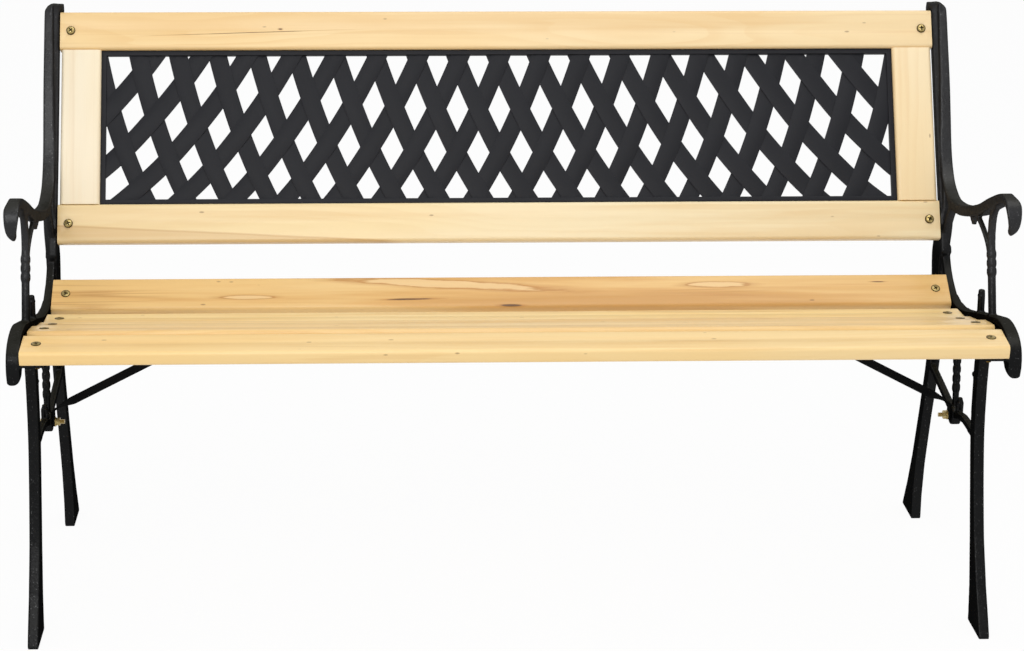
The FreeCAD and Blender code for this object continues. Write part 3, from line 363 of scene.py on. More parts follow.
def add_heart(tree, place, color, start, half, slope, dark):
    """Darker heartwood below a line, with a rim along it."""
    above, inside = heart_line(tree, place, start, slope, half[0])
    body = (1 - above.smoothstep(-0.001, 0.001)) * above.smoothstep(-0.06, 0.0)
    rim = 1 - above.math("ABSOLUTE").smoothstep(0.0004, 0.0022)
    color = mixed(tree, body * inside * 0.34, color, dark)
    return mixed(tree, rim * inside * 0.4, color, dark)


def add_eye(tree, place, color, middle, half, slope, dark):
    """Pale lens with a dark rim."""
    far = oval_mark(tree, place, middle, half, slope)
    color = mixed(tree, (1 - far.smoothstep(0.7, 2.8)) * 0.4, color, dark)
    color = mixed(tree, (1 - far.smoothstep(0.6, 1.05)) * 0.6, color, PALE_HEART)
    return mixed(tree, (1 - (far - 1).math("ABSOLUTE").smoothstep(0.02, 0.4)) * 0.6, color, dark)


def add_split(tree, place, color, middle, half, slope, dark):
    """Thin dark split with a stain round it."""
    far = oval_mark(tree, place, middle, half, slope)
    color = mixed(tree, (1 - far.smoothstep(0.5, 2.6)) * 0.6, color, dark)
    return mixed(tree, (1 - far.smoothstep(0.2, 0.95)) * 0.9, color, SPLIT_BROWN)


def pine(name, tilt, seed, pale, upright=False, streak=0.35, grain=1.0, vein=0.0, marks=()):
    """Varnished softwood: growth rings cut lengthwise, warm bands, veins, fibres, specks and marks."""
    light, blond = (*pale, 1), tinted(pale, BLOND_WOOD)
    late, brown = tinted(pale, LATE_WOOD), tinted(pale, VEIN_WOOD)
    material, tree, shader = new_finish(name, Coat_Roughness=0.22, Coat_Weight=0.25, Specular_IOR_Level=0.4)
    flat = object_place(tree, turn=(-math.radians(tilt), 0, 0))
    place = add_node(tree, "ShaderNodeMapping", {"vector_type": "POINT"}, Vector=flat,
                     Location=(1.7 * seed, 0.31 * seed, 0.17 * seed),
                     Rotation=(0, 0, math.radians(90) if upright else 0.0))
    # growth rings
    _, across, depth = axes(tree, place)
    waver = noise(tree, scaled(tree, place, (0.8, 6, 6)), 1.6, 2.0)
    wander = stretched_noise(tree, place, (4, 30, 30), 3.0)
    saw = (across * 70 + depth * 50 + waver * 14 + wander * 1.6).math("FRACT")
    line = saw.smoothstep(0.3, 0.92) * (1 - saw.smoothstep(0.94, 1.0))
    # fibres and broad bands
    fibre = stretched_noise(tree, place, (7, 620, 620), 4.0, 0.6)
    broad = stretched_noise(tree, place, (1.1, 24, 24), 4.0, 0.6)
    soft = stretched_noise(tree, place, (1.4, 7, 7), 2.0)
    slow = stretched_noise(tree, place, (1.6, 5, 5), 2.0)
    color = mixed(tree, slow.smoothstep(0.36, 0.62), light, blond)
    color = mixed(tree, line * soft.smoothstep(0.3, 0.75) * 0.3 * grain, color, late)
    color = mixed(tree, broad.smoothstep(0.46, 0.62) * streak, color, late)
    color = mixed(tree, broad.smoothstep(0.54, 0.72) * vein * 0.6, color, brown)
    color = mixed(tree, fibre.smoothstep(0.55, 0.85) * 0.2, color, late)
    # thin veins that come and go
    thread = stretched_noise(tree, place, (0.9, 34, 34), 3.0, 0.55)
    fades = stretched_noise(tree, place, (2.2, 9, 9), 2.0)
    near = (thread - 0.5).math("ABSOLUTE")
    veins = (1 - near.smoothstep(0.0, 0.035)) * fades.smoothstep(0.42, 0.6)
    color = mixed(tree, veins * (vein * 0.7 + 0.1), color, brown)
    # specks and marks
    cells = add_node(tree, "ShaderNodeTexVoronoi", {"feature": "F1"}, "Distance",
                     Vector=scaled(tree, place, (16, 44, 44)), Scale=1.0, Randomness=1.0)
    color = mixed(tree, (1 - cells.smoothstep(0.03, 0.07)) * 0.6, color, SPECK_BROWN)
    for add_mark, middle, half, slope in marks:
        color = add_mark(tree, flat, color, middle, half, slope, brown)
    bump = bumped(tree, 0.10, 0.6, fibre * 0.6 + line * 0.4)
    feed(tree, shader, Base_Color=color, Roughness=0.36 + fibre * 0.18 + line * 0.05, Normal=bump)
    return material


def black_iron():
    """Black paint on a casting: specks, a painted sheen on upward faces, painted light above the seat and
    painted shade on the legs' inward-facing sides.
    """
    material, tree, shader = new_finish("black_painted_casting", Specular_IOR_Level=0.0)
    place = object_place(tree)
    sideways, _, upward = axes(tree, add_node(tree, "ShaderNodeTexCoord", output="Normal"))
    from_middle, _, height = axes(tree, place)
    # Painted light: above the seat the paint is lighter grey and glossier, where light falls on the posts
    painted_light_above_seat = height.smoothstep(0.40, 0.50)
    # Painted shade: below the seat, the sides that face the bench's middle are painted darker
    painted_shade_in_legs = (sideways * -from_middle.math("SIGN")).smoothstep(0.5, 0.95) * (1 - painted_light_above_seat)
    # Upward faces, where a painted sheen of light from above goes
    top = upward.smoothstep(0.45, 0.95)
    grain = noise(tree, place, 520, 3.0, 0.6)
    dimple = noise(tree, place, 130, 3.0, 0.55)
    cloud = noise(tree, place, 22, 4.0, 0.6)
    color = mixed(tree, cloud.smoothstep(0.35, 0.7), CASTING_BLACK, CASTING_CHARCOAL)
    color = mixed(tree, grain.smoothstep(0.6, 0.8) * 0.3, color, CASTING_GRAIN)
    # Painted shade on the legs' inward-facing sides
    color = mixed(tree, painted_shade_in_legs * 0.6, color, CASTING_PAINTED_SHADE)
    # Painted light: lighter grey above the seat
    color = mixed(tree, painted_light_above_seat * (0.3 + cloud * 0.5), color, CASTING_PAINTED_LIGHT)
    # Painted sheen: upward faces are painted lighter and olive, as if lit from above
    color = mixed(tree, top * (0.35 + cloud * 0.5), color, CASTING_TOP_SHEEN)
    roughness = 0.16 + dimple * 0.18 + cloud * 0.1
    bump = bumped(tree, 0.55, 0.9, grain * 0.4 + dimple)
    feed(tree, shader, Base_Color=color, Roughness=roughness, Normal=bump)
    specks = grain.smoothstep(0.6, 0.72) * dimple.smoothstep(0.5, 0.62)
    # Gloss goes up with the painted light above the seat and down on the legs' painted-shade sides
    shine = (0.0095 + painted_light_above_seat * 0.011 + specks * 0.07) * (1 - painted_shade_in_legs * 0.75)
    glossed(tree, shader, shine, roughness, bump)
    return material


def black_plastic():
    """Satin moulded plastic with a faint leathery grain."""
    material, tree, shader = new_finish("black_moulded_plastic", Specular_IOR_Level=0.16)
    place = object_place(tree)
    grain = noise(tree, place, 900, 2.0)
    color = mixed(tree, noise(tree, place, 14), PLASTIC_BLACK, PLASTIC_CHARCOAL)
    bump = bumped(tree, 0.16, 0.3, grain)
    feed(tree, shader, Base_Color=color, Roughness=0.42 + grain * 0.14, Normal=bump)
    return material


def black_steel():
    """Black paint on a flat steel bar."""
    material, tree, shader = new_finish("black_painted_bar", Specular_IOR_Level=0.0)
    place = object_place(tree)
    cloud = noise(tree, place, 30)
    color = mixed(tree, cloud, BAR_BLACK, BAR_CHARCOAL)
    roughness = 0.34 + cloud * 0.2
    bump = bumped(tree, 0.15, 0.4, noise(tree, place, 420))
    feed(tree, shader, Base_Color=color, Roughness=roughness, Normal=bump)
    glossed(tree, shader, 0.003 + cloud * 0.003, roughness, bump)
    return material


def yellow_zinc(name, tarnish_and_shade):
    """Yellow zinc plating with a brassy, slightly mottled tint, a tarnished tone that on the seat bolts is
    partly painted shade, and painted shade on the heads' rims and in their recesses.
    """
    material, tree, shader = new_finish(name, Metallic=1.0)
    mottle = noise(tree, object_place(tree), 260, 3.0, 0.6)
    grime = add_node(tree, "ShaderNodeAttribute", {"attribute_name": "grime"}, "Fac")
    color = mixed(tree, mottle.smoothstep(0.35, 0.65), ZINC_BROWN, ZINC_YELLOW)
    # Tarnished tone, and for the seat bolts a darker share of it as painted shade
    color = mixed(tree, tarnish_and_shade, color, ZINC_TARNISH_AND_SHADE)
    # Painted shade on the heads' rims and in their recesses
    color = mixed(tree, grime * 0.96, color, ZINC_PAINTED_SHADE)
    feed(tree, shader, Base_Color=color, Roughness=0.26 + mottle * 0.16 + grime * 0.2)
    return material


IRON = black_iron()
PLASTIC = black_plastic()
STEEL = black_steel()
ZINC = yellow_zinc("yellow_zinc_plating", 0.22)
# Painted shade: a darker copy of the same plating for the seat bolts
SHADED_ZINC = yellow_zinc("dull_zinc_plating", 0.4)


# Copies of the solids, with softer edges

BOARD_EDGE, BRACE_EDGE = 1.2, 0.5
CORNER_ANGLE = 35
FLAT_WITHIN = 0.5
MERGE_WITHIN = 0.01


def copied(node, name):
    """Copy of a solid's mesh, its points merged, in edit mode with all of it selected."""
    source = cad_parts[node]
    copy = bpy.data.objects.new(name, source.data.copy())
    copy.data.name = name
    bpy.context.scene.collection.objects.link(copy)
    copy.data.transform(source.matrix_world)
    opened(copy)
    bpy.ops.mesh.select_all(action="SELECT")
    bpy.ops.mesh.remove_doubles(threshold=MERGE_WITHIN * MM)
    return copy


def softened(node, name, width, material, slot):
    """Copy of a solid with its flat faces whole again and every hard edge rounded."""
    copy = copied(node, name)
    bpy.ops.mesh.dissolve_limited(angle_limit=math.radians(FLAT_WITHIN))
    done(copy)
    rounded(copy, width, 3, CORNER_ANGLE)
    smooth(copy, SMOOTH_ANGLE)
    return fitted(copy, material, slot, node)


# Boards

# Marks in the wood: kind, middle along and across the board, half of the length and height, slope
REAR_MARKS = (
    (add_eye, (-72, 278), (135, 7.0), -0.07),
    (add_eye, (-338, 258), (34, 3.2), 0.0),
    (add_eye, (285, 275), (40, 4.6), 0.0),
    (add_split, (-120, 253), (34, 1.7), 0.02),
    (add_split, (10, 242), (16, 1.6), 0.0),
    (add_split, (499, 278), (10, 1.0), 0.0),
)
TOP_MARKS = ((add_split, (-294, 736), (3, 1.2), 0.0), (add_split, (-340, 731), (110, 0.45), 0.03))
BOTTOM_MARKS = ((add_heart, (-590, 467), (470, 0), -0.052),)
# Tone, share of warm streaks, share of dark veins and marks
SEAT_WOODS = {
    "front": ((0.92, 0.635, 0.265), 0.3, 0.12, ()),
    "second": ((0.91, 0.63, 0.265), 0.3, 0.2, ()),
    "third": ((0.91, 0.625, 0.255), 0.4, 0.3, ()),
    "fourth": ((0.955, 0.70, 0.31), 0.45, 0.4, ()),
    "rear": ((0.81, 0.52, 0.19), 0.7, 0.7, REAR_MARKS),
}
# Place in the grain, tone and figure
BACK_WOODS = {
    "top_rail": (6.4, (0.885, 0.645, 0.32), {"streak": 0.3, "marks": TOP_MARKS}),
    "bottom_rail": (7.3, (0.895, 0.715, 0.40), {"streak": 0.4, "marks": BOTTOM_MARKS}),
    "left_stile": (8.2, (0.89, 0.745, 0.495), {"upright": True, "streak": 0.2, "grain": 0.5}),
    "right_stile": (9.7, (0.895, 0.69, 0.385), {"upright": True, "streak": 0.25, "grain": 0.6}),
}
DOWEL_WOOD = (10.3, (0.85, 0.62, 0.34))


def make_boards():
    for seed, (slat, (_, _, tilt)) in enumerate(SLATS.items(), start=1):
        tone, streak, vein, marks = SEAT_WOODS[slat]
        wood = pine("pine_seat_" + slat, tilt, seed, tone, streak=streak, vein=vein, marks=marks)
        softened("seat_slat_" + slat, slat + "_slat_board", BOARD_EDGE, wood, "softwood")
    for place, (seed, tone, figure) in BACK_WOODS.items():
        wood = pine("pine_" + place, BACK_TILT, seed, tone, **figure)
        softened("back_" + place, place + "_board", BOARD_EDGE, wood, "softwood")
    paint("stile_dowels", pine("pine_dowels", BACK_TILT, *DOWEL_WOOD, upright=True))


# End castings

CAST_GRID = 1.4
CAST_FACES_KEPT = 0.45
CAST_SMOOTH_ANGLE = 60
TONGUE_HEIGHTS = (501.0, 531.0)
TONGUE_BACK = -188.0
TONGUE_MIDDLE = 605.0
TONGUE_NARROW = 0.6
TONGUE_REACH = 36.0
LEAF_PLACE = (599.5, -89.7)
LEAF_RADIUS = 7.0
LEAF_TOP = 440.0
LEAF_REACH = 1.6
LEAF_SHAPING = ((396.0, 1.12), (420.6, 1.4))
CAP_EDGE = 600.0
CAP_LOW = 726.0
CAP_TOP = 734.7
CAP_FACING = -0.2
CAP_LEVEL = 0.12
CAP_REACH = 3.5


def resize_nearby(factors, center, reach):
    """Resize what is selected, with the change fading out over the mesh round it."""
    bpy.ops.transform.resize(value=factors, center_override=center, use_proportional_edit=True,
                             use_proportional_connected=True, proportional_edit_falloff="SMOOTH",
                             proportional_size=reach * MM)


def on_side_of(casting, x):
    """A distance from the bench's middle, towards the casting."""
    return math.copysign(x * MM, casting.data.vertices[0].co.x)


def taper_tongue(casting):
    """Narrow the curled front end of the arm towards its tip."""
    low, high = [height * MM for height in TONGUE_HEIGHTS]
    middle = (on_side_of(casting, TONGUE_MIDDLE), 0, 0)
    opened(casting)
    pick_faces(casting, lambda centre, normal: low < centre.z < high and centre.y < TONGUE_BACK * MM)
    resize_nearby((TONGUE_NARROW, 1, 1), middle, TONGUE_REACH)
    done(casting)


def fill_leaf(casting):
    """Fill out the finger beside the arm's stem, and its tip again."""
    x, y = on_side_of(casting, LEAF_PLACE[0]), LEAF_PLACE[1] * MM
    opened(casting)
    for low, swell in LEAF_SHAPING:
        pick_faces(casting, lambda centre, normal: low * MM < centre.z < LEAF_TOP * MM
                   and math.hypot(centre.x - x, centre.y - y) < LEAF_RADIUS * MM)
        resize_nearby((swell, swell, 1), (x, y, 0), LEAF_REACH)
    done(casting)


def level_cap(casting):
    """Bring the lip that hooks over the top rail level with the top of the post, as one cap."""
    opened(casting)
    pick_faces(casting, lambda centre, normal: abs(centre.x) < CAP_EDGE * MM and centre.z > CAP_LOW * MM
               and normal.z > CAP_FACING)
    resize_nearby((1, 1, CAP_LEVEL), (0, 0, CAP_TOP * MM), CAP_REACH)
    done(casting)


def sand_cast(node, name):
    """Copy of a casting on an even mesh, smoothed so that edges and joints flow as they do out of sand."""
    copy = done(copied(node, name))
    modified(copy, "REMESH", mode="VOXEL", voxel_size=CAST_GRID * MM)
    taper_tongue(copy)
    fill_leaf(copy)
    level_cap(copy)
    modified(copy, "SMOOTH", factor=0.5, iterations=7)
    modified(copy, "DECIMATE", ratio=CAST_FACES_KEPT)
    smooth(copy, CAST_SMOOTH_ANGLE)
    return fitted(copy, IRON, "cast_iron", node)


# Woven lattice panel

# A strip's half width and reach are counted in steps of the lattice
LATTICE_PITCH = 57.0
ROW_HEIGHT = 59.3
ROW_GROWTH = 3.3
LATTICE_DROP = 7.1
FAN_HEIGHT = 2400.0
SAG_RADIUS = 2160.0
STRIPS_EACH_SIDE = 12
HALF_STRIP = 0.239
STRIP_REACH = 4
STRIP_STEPS = 80
WEAVE_RISE = 1.0
STRIP_THICKNESS = 2.6
STRIP_EDGE = 0.35
PANEL_HALF = (534.0, 105.85)
PANEL_BORDER = 7.0
BORDER_STEP = 2.0
BORDER_EDGE = 0.9
TONGUE_DEPTH = 6.0
TONGUE_THICKNESS = 4.0
GROOVE_GAP = 0.3
PANEL_OUT = -BOARD_THICKNESS / 2
CORNER_STRIPS = ((True, -9.5), (False, 9.5), (True, 10.5), (False, -10.5))


def lattice_place(column, row, out):
    """Place of a point of the lattice on the panel: rows rise to both ends, columns fan downwards."""
    up = ROW_HEIGHT * row + ROW_GROWTH * row ** 2 - LATTICE_DROP
    x = LATTICE_PITCH * column * (1 - up / FAN_HEIGHT)
    return Vector((x * MM, (up + x ** 2 / (2 * SAG_RADIUS)) * MM, out * MM))


def woven_strip(pattern, number, rising):
    """One strip of the lattice, over one crossing and under the next; rising strips lean to the right."""
    strip = placed(pattern, "strip", Matrix.Identity(4))
    for vertex in strip.data.vertices:
        run, side = number + vertex.co.x, number + vertex.co.y
        up, down = (run, side) if rising else (side, run)
        wave = -math.cos(math.pi * (up - down)) * WEAVE_RISE
        vertex.co = lattice_place((up + down) / 2, up - down + 0.5, wave if rising else -wave)
    return strip


def make_strips():
    """All strips, trimmed just inside the border; no strip crosses the panel's four corners."""
    bpy.ops.object.select_all(action="DESELECT")
    bpy.ops.mesh.primitive_grid_add(x_subdivisions=STRIP_STEPS, y_subdivisions=2, size=2)
    pattern = started("strip_pattern")
    bpy.ops.mesh.select_all(action="SELECT")
    bpy.ops.transform.resize(value=(STRIP_REACH, HALF_STRIP, 1))
    done(pattern)
    strips = []
    for step in range(-STRIPS_EACH_SIDE, STRIPS_EACH_SIDE + 1):
        for rising in (True, False):
            if (rising, step + 0.5) not in CORNER_STRIPS:
                strips.append(woven_strip(pattern, step + 0.5, rising))
    bpy.data.objects.remove(pattern)
    weave = opened(joined(strips, "woven_lattice"))
    reach = [(half - PANEL_BORDER / 2) * MM for half in PANEL_HALF]
    for side in (Vector((1, 0, 0)), Vector((-1, 0, 0)), Vector((0, 1, 0)), Vector((0, -1, 0))):
        far = reach[0] if side.x else reach[1]
        bpy.ops.mesh.select_all(action="SELECT")
        bpy.ops.mesh.bisect(plane_co=side * far, plane_no=side, clear_outer=True)
    done(weave)
    modified(weave, "SOLIDIFY", thickness=STRIP_THICKNESS * MM, offset=0.0, use_even_offset=True)
    return rounded(weave, STRIP_EDGE, 2, SHARP_ANGLE)


def make_border():
    """Moulded frame round the lattice, with the tongue that sits in the grooves of the boards."""
    bpy.ops.object.select_all(action="DESELECT")
    bpy.ops.mesh.primitive_cube_add(size=1)
    border = started("lattice_border")
    bpy.ops.mesh.select_all(action="SELECT")
    long, high = [2 * (half + TONGUE_DEPTH) * MM for half in PANEL_HALF]
    bpy.ops.transform.resize(value=(long, high, TONGUE_THICKNESS * MM))
    pick_faces(border, facing_up_or_down)
    bpy.ops.mesh.inset(thickness=(TONGUE_DEPTH + GROOVE_GAP) * MM, use_individual=True)
    bpy.ops.mesh.extrude_region_shrink_fatten(TRANSFORM_OT_shrink_fatten={"value": BORDER_STEP * MM})
    bpy.ops.mesh.inset(thickness=(PANEL_BORDER - GROOVE_GAP) * MM, use_individual=True)
    bpy.ops.mesh.bridge_edge_loops()
    done(border)
    return rounded(border, BORDER_EDGE, 3, SHARP_ANGLE)


def make_lattice():
    lattice = joined([make_strips(), make_border()], "woven_lattice")
    lattice.data.transform(back_place(RAIL_SPACING / 2, out=PANEL_OUT))
    smooth(lattice, SMOOTH_ANGLE)
    return fitted(lattice, PLASTIC, "lattice_plastic", "lattice_panel")


# Fasteners

ROUND_SIDES, TURNED_SIDES = 32, 48
HEAD_RADIUS = 6.0
RIM_HEIGHT = 0.9
DOME_STEPS = ((0.8, 0.93), (0.8, 0.845), (0.6, 0.745), (0.35, 0.63), (0.15, 0.36))
HEAD_HEIGHT = RIM_HEIGHT + sum(lift for lift, shrink in DOME_STEPS)
SUNK_HEAD = 0.35
SLOT_LENGTH, SLOT_WIDTH, SLOT_HEIGHT = 7.6, 1.9, 2.2
SLOT_BELOW_TOP = 0.7
SLOT_TAPER = 0.55
RECESS_RADIUS, RECESS_TOP = 4.4, 2.35
# Beyond this radius the head's rim gets painted shade
UNSHADED_RADIUS = 5.0
SHANK_RADIUS = 3.0
THREAD_PITCH = 1.0
THREAD_LENGTH = 15.0
THREAD_ROOT = 0.86
WASHER_RADIUS, WASHER_HOLE, WASHER_THICKNESS = 6.5, 3.3, 1.4
WASHER_EDGE = 0.25
NUT_WIDTH, NUT_HOLE, NUT_HEIGHT = 10.0, 3.15, 5.0
NUT_CHAMFER, NUT_END = 0.45, 0.87
NUT_SMOOTH_ANGLE = 30
BOARD_BOLT_LENGTH, BRACE_BOLT_LENGTH = 32.4, 28.4
BOSS_PLACE = (605.5, 10.0, 226.0)
BOSS_GRIP = 16.0
BOLT_TURNS = (20, 64, 41, 8, 77, 33, 52, 15, 70, 26)


def lengthened(steps):
    """Carry on from the selected face: each step moves it along Z and then resizes it."""
    for lift, resize in steps:
        bpy.ops.mesh.extrude_region_move(TRANSFORM_OT_translate={"value": (0, 0, lift * MM)})
        bpy.ops.transform.resize(value=(resize, resize, 1))


def add_cylinder(name, sides, radius, low, high):
    bpy.ops.object.select_all(action="DESELECT")
    bpy.ops.mesh.primitive_cylinder_add(vertices=sides, radius=radius * MM, depth=(high - low) * MM,
                                        location=(0, 0, (low + high) / 2 * MM))
    return started(name)


def cut_away(piece, tool, operation="DIFFERENCE"):
    modified(piece, "BOOLEAN", operation=operation, object=tool, solver="EXACT")
    bpy.data.objects.remove(tool)


def cut_cross(bolt):
    """Cross recess in a domed head: two tapered slots."""
    for size_x, size_y in ((SLOT_LENGTH, SLOT_WIDTH), (SLOT_WIDTH, SLOT_LENGTH)):
        bpy.ops.object.select_all(action="DESELECT")
        bpy.ops.mesh.primitive_cube_add(size=1, location=(0, 0, (HEAD_HEIGHT - SLOT_BELOW_TOP) * MM))
        slot = started("cross_slot")
        bpy.ops.mesh.select_all(action="SELECT")
        bpy.ops.transform.resize(value=(size_x * MM, size_y * MM, SLOT_HEIGHT * MM))
        pick_faces(slot, facing_down)
        bpy.ops.transform.resize(value=(SLOT_TAPER, SLOT_TAPER, 1))
        done(slot)
        cut_away(bolt, slot)


def mark_grime(bolt):
    """Attribute that is 1 on the head's rim and in its recess, where shade is painted."""
    grime = bolt.data.attributes.new("grime", "FLOAT", "POINT")
    for vertex in bolt.data.vertices:
        out, high = math.hypot(vertex.co.x, vertex.co.y) / MM, vertex.co.z / MM
        in_recess = out < RECESS_RADIUS and 0 < high < RECESS_TOP
        grime.data[vertex.index].value = 1.0 if in_recess or out > UNSHADED_RADIUS else 0.0


def make_bolt_pattern(name, length):
    """Bolt with a domed, cross-recessed head above the origin and a threaded end below."""
    bolt = add_cylinder(name, ROUND_SIDES, HEAD_RADIUS, 0, RIM_HEIGHT)
    pick_faces(bolt, facing_up)
    lengthened(DOME_STEPS)
    pick_faces(bolt, facing_down)
    bpy.ops.mesh.inset(thickness=(HEAD_RADIUS - SHANK_RADIUS) * MM)
    lengthened([(THREAD_LENGTH - length, 1)])
    thread = [(-THREAD_PITCH / 2, THREAD_ROOT), (-THREAD_PITCH / 2, 1 / THREAD_ROOT)]
    lengthened(thread * int(THREAD_LENGTH / THREAD_PITCH))
    done(bolt)
    cut_cross(bolt)
    mark_grime(bolt)
    return smooth(bolt, SMOOTH_ANGLE)


def make_sunk_bolt(bolt):
    """Copy of a bolt whose head is drawn into the soft wood, so that little of it stands proud."""
    sunk = opened(placed(bolt, "sunk_bolt_pattern", Matrix.Identity(4)))
    pick_faces(sunk, lambda centre, normal: centre.z > 0)
    bpy.ops.transform.resize(value=(1, 1, SUNK_HEAD), center_override=(0, 0, 0))
    return done(sunk)


def make_washer_pattern():
    washer = add_cylinder("washer_pattern", ROUND_SIDES, WASHER_RADIUS, -WASHER_THICKNESS, 0)
    pick_faces(washer, facing_up_or_down)
    bpy.ops.mesh.inset(thickness=(WASHER_RADIUS - WASHER_HOLE) * MM, use_individual=True)
    bpy.ops.mesh.bridge_edge_loops()
    done(washer)
    rounded(washer, WASHER_EDGE, 2, SHARP_ANGLE)
    return smooth(washer, SMOOTH_ANGLE)


def make_nut_pattern():
    """Hexagon nut with chamfered corners."""
    corner = NUT_WIDTH / math.sqrt(3)
    nut = done(add_cylinder("nut_pattern", 6, corner, -NUT_HEIGHT, 0))
    turned = add_cylinder("nut_turning", TURNED_SIDES, corner, -NUT_HEIGHT + NUT_CHAMFER, -NUT_CHAMFER)
    for lift, end in ((NUT_CHAMFER, facing_up), (-NUT_CHAMFER, facing_down)):
        pick_faces(turned, end)
        lengthened([(lift, NUT_END)])
    done(turned)
    cut_away(nut, turned, "INTERSECT")
    cut_away(nut, done(add_cylinder("nut_hole", ROUND_SIDES, NUT_HOLE, -NUT_HEIGHT - 1, 1)))
    return smooth(nut, NUT_SMOOTH_ANGLE)


def seat_places(out):
    return [board_place(*slat, x=side * BOLT_X, out=out) for slat in SLATS.values() for side in (-1, 1)]


def back_places(out):
    return [back_place(along, side * BOLT_X, out) for along in (0, RAIL_SPACING) for side in (-1, 1)]


def boss_places(out):
    """Places at the two bosses, their Z axis out of the bench, from the boss's outer face."""
    x, y, z = [value * MM for value in BOSS_PLACE]
    places = []
    for side in (-1, 1):
        turn = Matrix.Rotation(math.radians(side * 90), 4, "Y")
        outward = Matrix.Translation((0, 0, out * MM))
        places.append(Matrix.Translation((side * x, y, z)) @ turn @ outward)
    return places


def fastener_set(pattern, name, places, node, material=ZINC):
    """Copies of a fastener, each turned a little differently, as one piece."""
    copies = []
    for number, place in enumerate(places):
        turn = Matrix.Rotation(math.radians(BOLT_TURNS[number]), 4, "Z")
        copies.append(placed(pattern, "%s_%d" % (name, number), place @ turn))
    return fitted(joined(copies, name), material, "yellow_zinc", node)


def make_fasteners():
    board_bolt = make_bolt_pattern("board_bolt_pattern", BOARD_BOLT_LENGTH)
    sunk_bolt = make_sunk_bolt(board_bolt)
    brace_bolt = make_bolt_pattern("brace_bolt_pattern", BRACE_BOLT_LENGTH)
    washer, nut = make_washer_pattern(), make_nut_pattern()
    under = -BOARD_THICKNESS - LUG_THICKNESS
    groups = (
        # The seat bolts take the darker copy of the plating, which is painted shade
        ("seat", seat_places, sunk_bolt, under, SHADED_ZINC),
        ("back", back_places, board_bolt, under, ZINC),
        ("brace", boss_places, brace_bolt, -BOSS_GRIP, ZINC),
    )
    for group, places, bolt, seat, plating in groups:
        fastener_set(bolt, group + "_bolt_set", places(0), group + "_bolts", plating)
        fastener_set(washer, group + "_washer_set", places(seat), group + "_washers")
        fastener_set(nut, group + "_nut_set", places(seat - WASHER_THICKNESS), group + "_nuts")
    for pattern in (board_bolt, sunk_bolt, brace_bolt, washer, nut):
        bpy.data.objects.remove(pattern)
    paint("brace_screws", ZINC)


# Stage, with places in metres and the camera's turns in radians

CAMERA_PLACE = (-0.1763, -3.1760, 1.3297)
CAMERA_YAW, CAMERA_PITCH, CAMERA_ROLL = 0.0359, 0.2986, 0.0039
CAMERA_LENS, CAMERA_SENSOR = 89.86, 36.0
CAMERA_SHIFT = (0.0532, 0.0041)
CAMERA_CLIP = (0.1, 60.0)
FLOOR_SIZE = 40
FLOOR_GLOW = 0.95
WORLD_LIGHT = 0.5
LAMPS = {
    "front_softbox": ((-0.8, -3.4, 2.6), (0, 0, 0.4), (2.6, 1.6), 57),
    "top_softbox": ((0.6, -0.4, 3.4), (0, 0.1, 0.4), (3.0, 2.0), 37),
}


def make_camera():
    """Camera solved from the bolt pairs and feet in the photograph."""
    level_reach = math.cos(CAMERA_PITCH)
    forward = Vector((math.sin(CAMERA_YAW) * level_reach, math.cos(CAMERA_YAW) * level_reach,
                      -math.sin(CAMERA_PITCH)))
    level = Vector((math.cos(CAMERA_YAW), -math.sin(CAMERA_YAW), 0))
    above = level.cross(forward)
    right = level * math.cos(CAMERA_ROLL) + above * math.sin(CAMERA_ROLL)
    up = above * math.cos(CAMERA_ROLL) - level * math.sin(CAMERA_ROLL)
    data = bpy.data.cameras.new("photo_camera")
    data.lens, data.sensor_width = CAMERA_LENS, CAMERA_SENSOR
    data.shift_x, data.shift_y = CAMERA_SHIFT
    data.clip_start, data.clip_end = CAMERA_CLIP
    camera = bpy.data.objects.new("photo_camera", data)
    turn = Matrix((right, up, -forward)).transposed().to_4x4()
    camera.matrix_world = Matrix.Translation(CAMERA_PLACE) @ turn
    bpy.context.scene.collection.objects.link(camera)
    bpy.context.scene.camera = camera


def seen_directly(tree):
    """1 for rays from the camera and for what shows in gloss or glass, and 0 for light on the object."""
    path = add_node(tree, "ShaderNodeLightPath", output="Is Camera Ray")
    outputs = path.socket.node.outputs
    glossy, clear = (Value(tree, outputs[name]) for name in ("Is Glossy Ray", "Is Transmission Ray"))
    return path.math("MAXIMUM", glossy).math("MAXIMUM", clear)


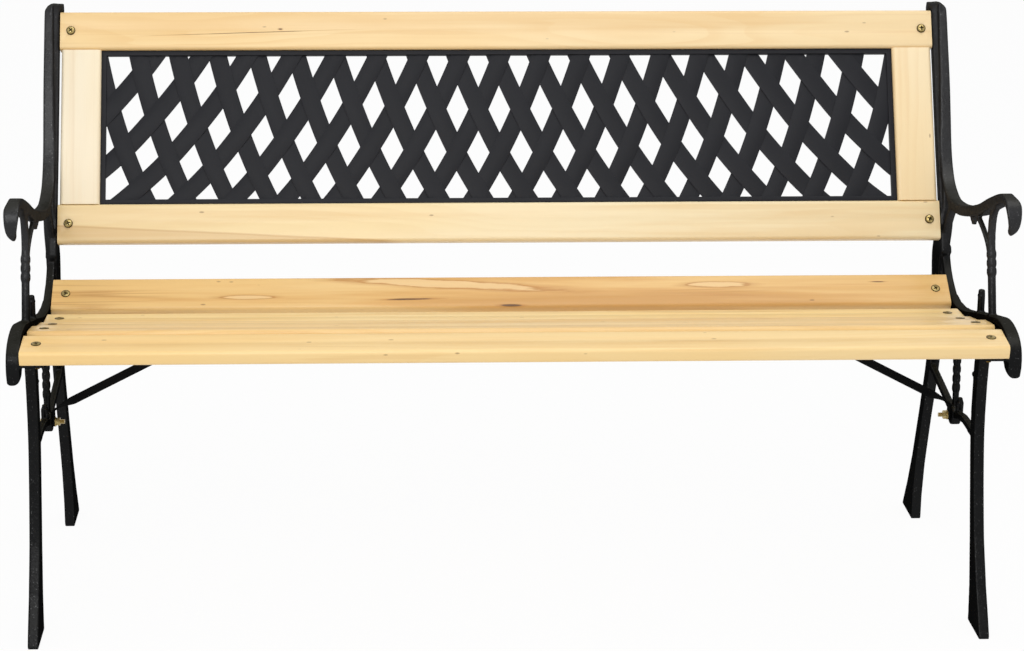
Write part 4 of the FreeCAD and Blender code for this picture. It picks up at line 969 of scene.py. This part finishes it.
def link_output(tree, shader, kind):
    output = tree.nodes.new(kind)
    tree.links.new(shader.socket, output.inputs["Surface"])


def make_floor():
    bpy.ops.object.select_all(action="DESELECT")
    bpy.ops.mesh.primitive_grid_add(x_subdivisions=2, y_subdivisions=2, size=FLOOR_SIZE, location=(0, 0, 0))
    floor = bpy.context.object
    floor.name = "studio_floor"
    material = bpy.data.materials.new("white_studio_floor")
    material.use_nodes = True
    tree = material.node_tree
    tree.nodes.clear()
    matt = add_node(tree, "ShaderNodeBsdfDiffuse", Color=FLOOR_PALE)
    glow = add_node(tree, "ShaderNodeEmission", Color=WHITE, Strength=1.0)
    blend = add_node(tree, "ShaderNodeMixShader", in0=seen_directly(tree) * FLOOR_GLOW, in1=matt, in2=glow)
    link_output(tree, blend, "ShaderNodeOutputMaterial")
    floor.data.materials.append(material)


def make_world():
    world = bpy.data.worlds.new("white_studio")
    bpy.context.scene.world = world
    world.use_nodes = True
    tree = world.node_tree
    tree.nodes.clear()
    seen = add_node(tree, "ShaderNodeBackground", Color=WHITE, Strength=1.0)
    light = add_node(tree, "ShaderNodeBackground", Color=WHITE, Strength=WORLD_LIGHT)
    blend = add_node(tree, "ShaderNodeMixShader", in0=seen_directly(tree), in1=light, in2=seen)
    link_output(tree, blend, "ShaderNodeOutputWorld")


def make_lamp(name, place, target, size, power):
    data = bpy.data.lights.new(name, "AREA")
    data.shape = "RECTANGLE"
    data.size, data.size_y = size
    data.energy = power
    lamp = bpy.data.objects.new(name, data)
    lamp.location = place
    lamp.rotation_euler = (Vector(target) - Vector(place)).to_track_quat("-Z", "Y").to_euler()
    bpy.context.scene.collection.objects.link(lamp)


def make_stage():
    make_camera()
    make_floor()
    make_world()
    for name, (place, target, size, power) in LAMPS.items():
        make_lamp(name, place, target, size, power)
    bpy.context.scene.view_settings.view_transform = "Standard"


def make_bench():
    for side in ("left", "right"):
        sand_cast(side + "_end_casting", side + "_end")
        softened(side + "_brace", side + "_flat_brace", BRACE_EDGE, STEEL, "painted_steel")
    make_boards()
    make_lattice()
    make_fasteners()


make_stage()
make_bench()
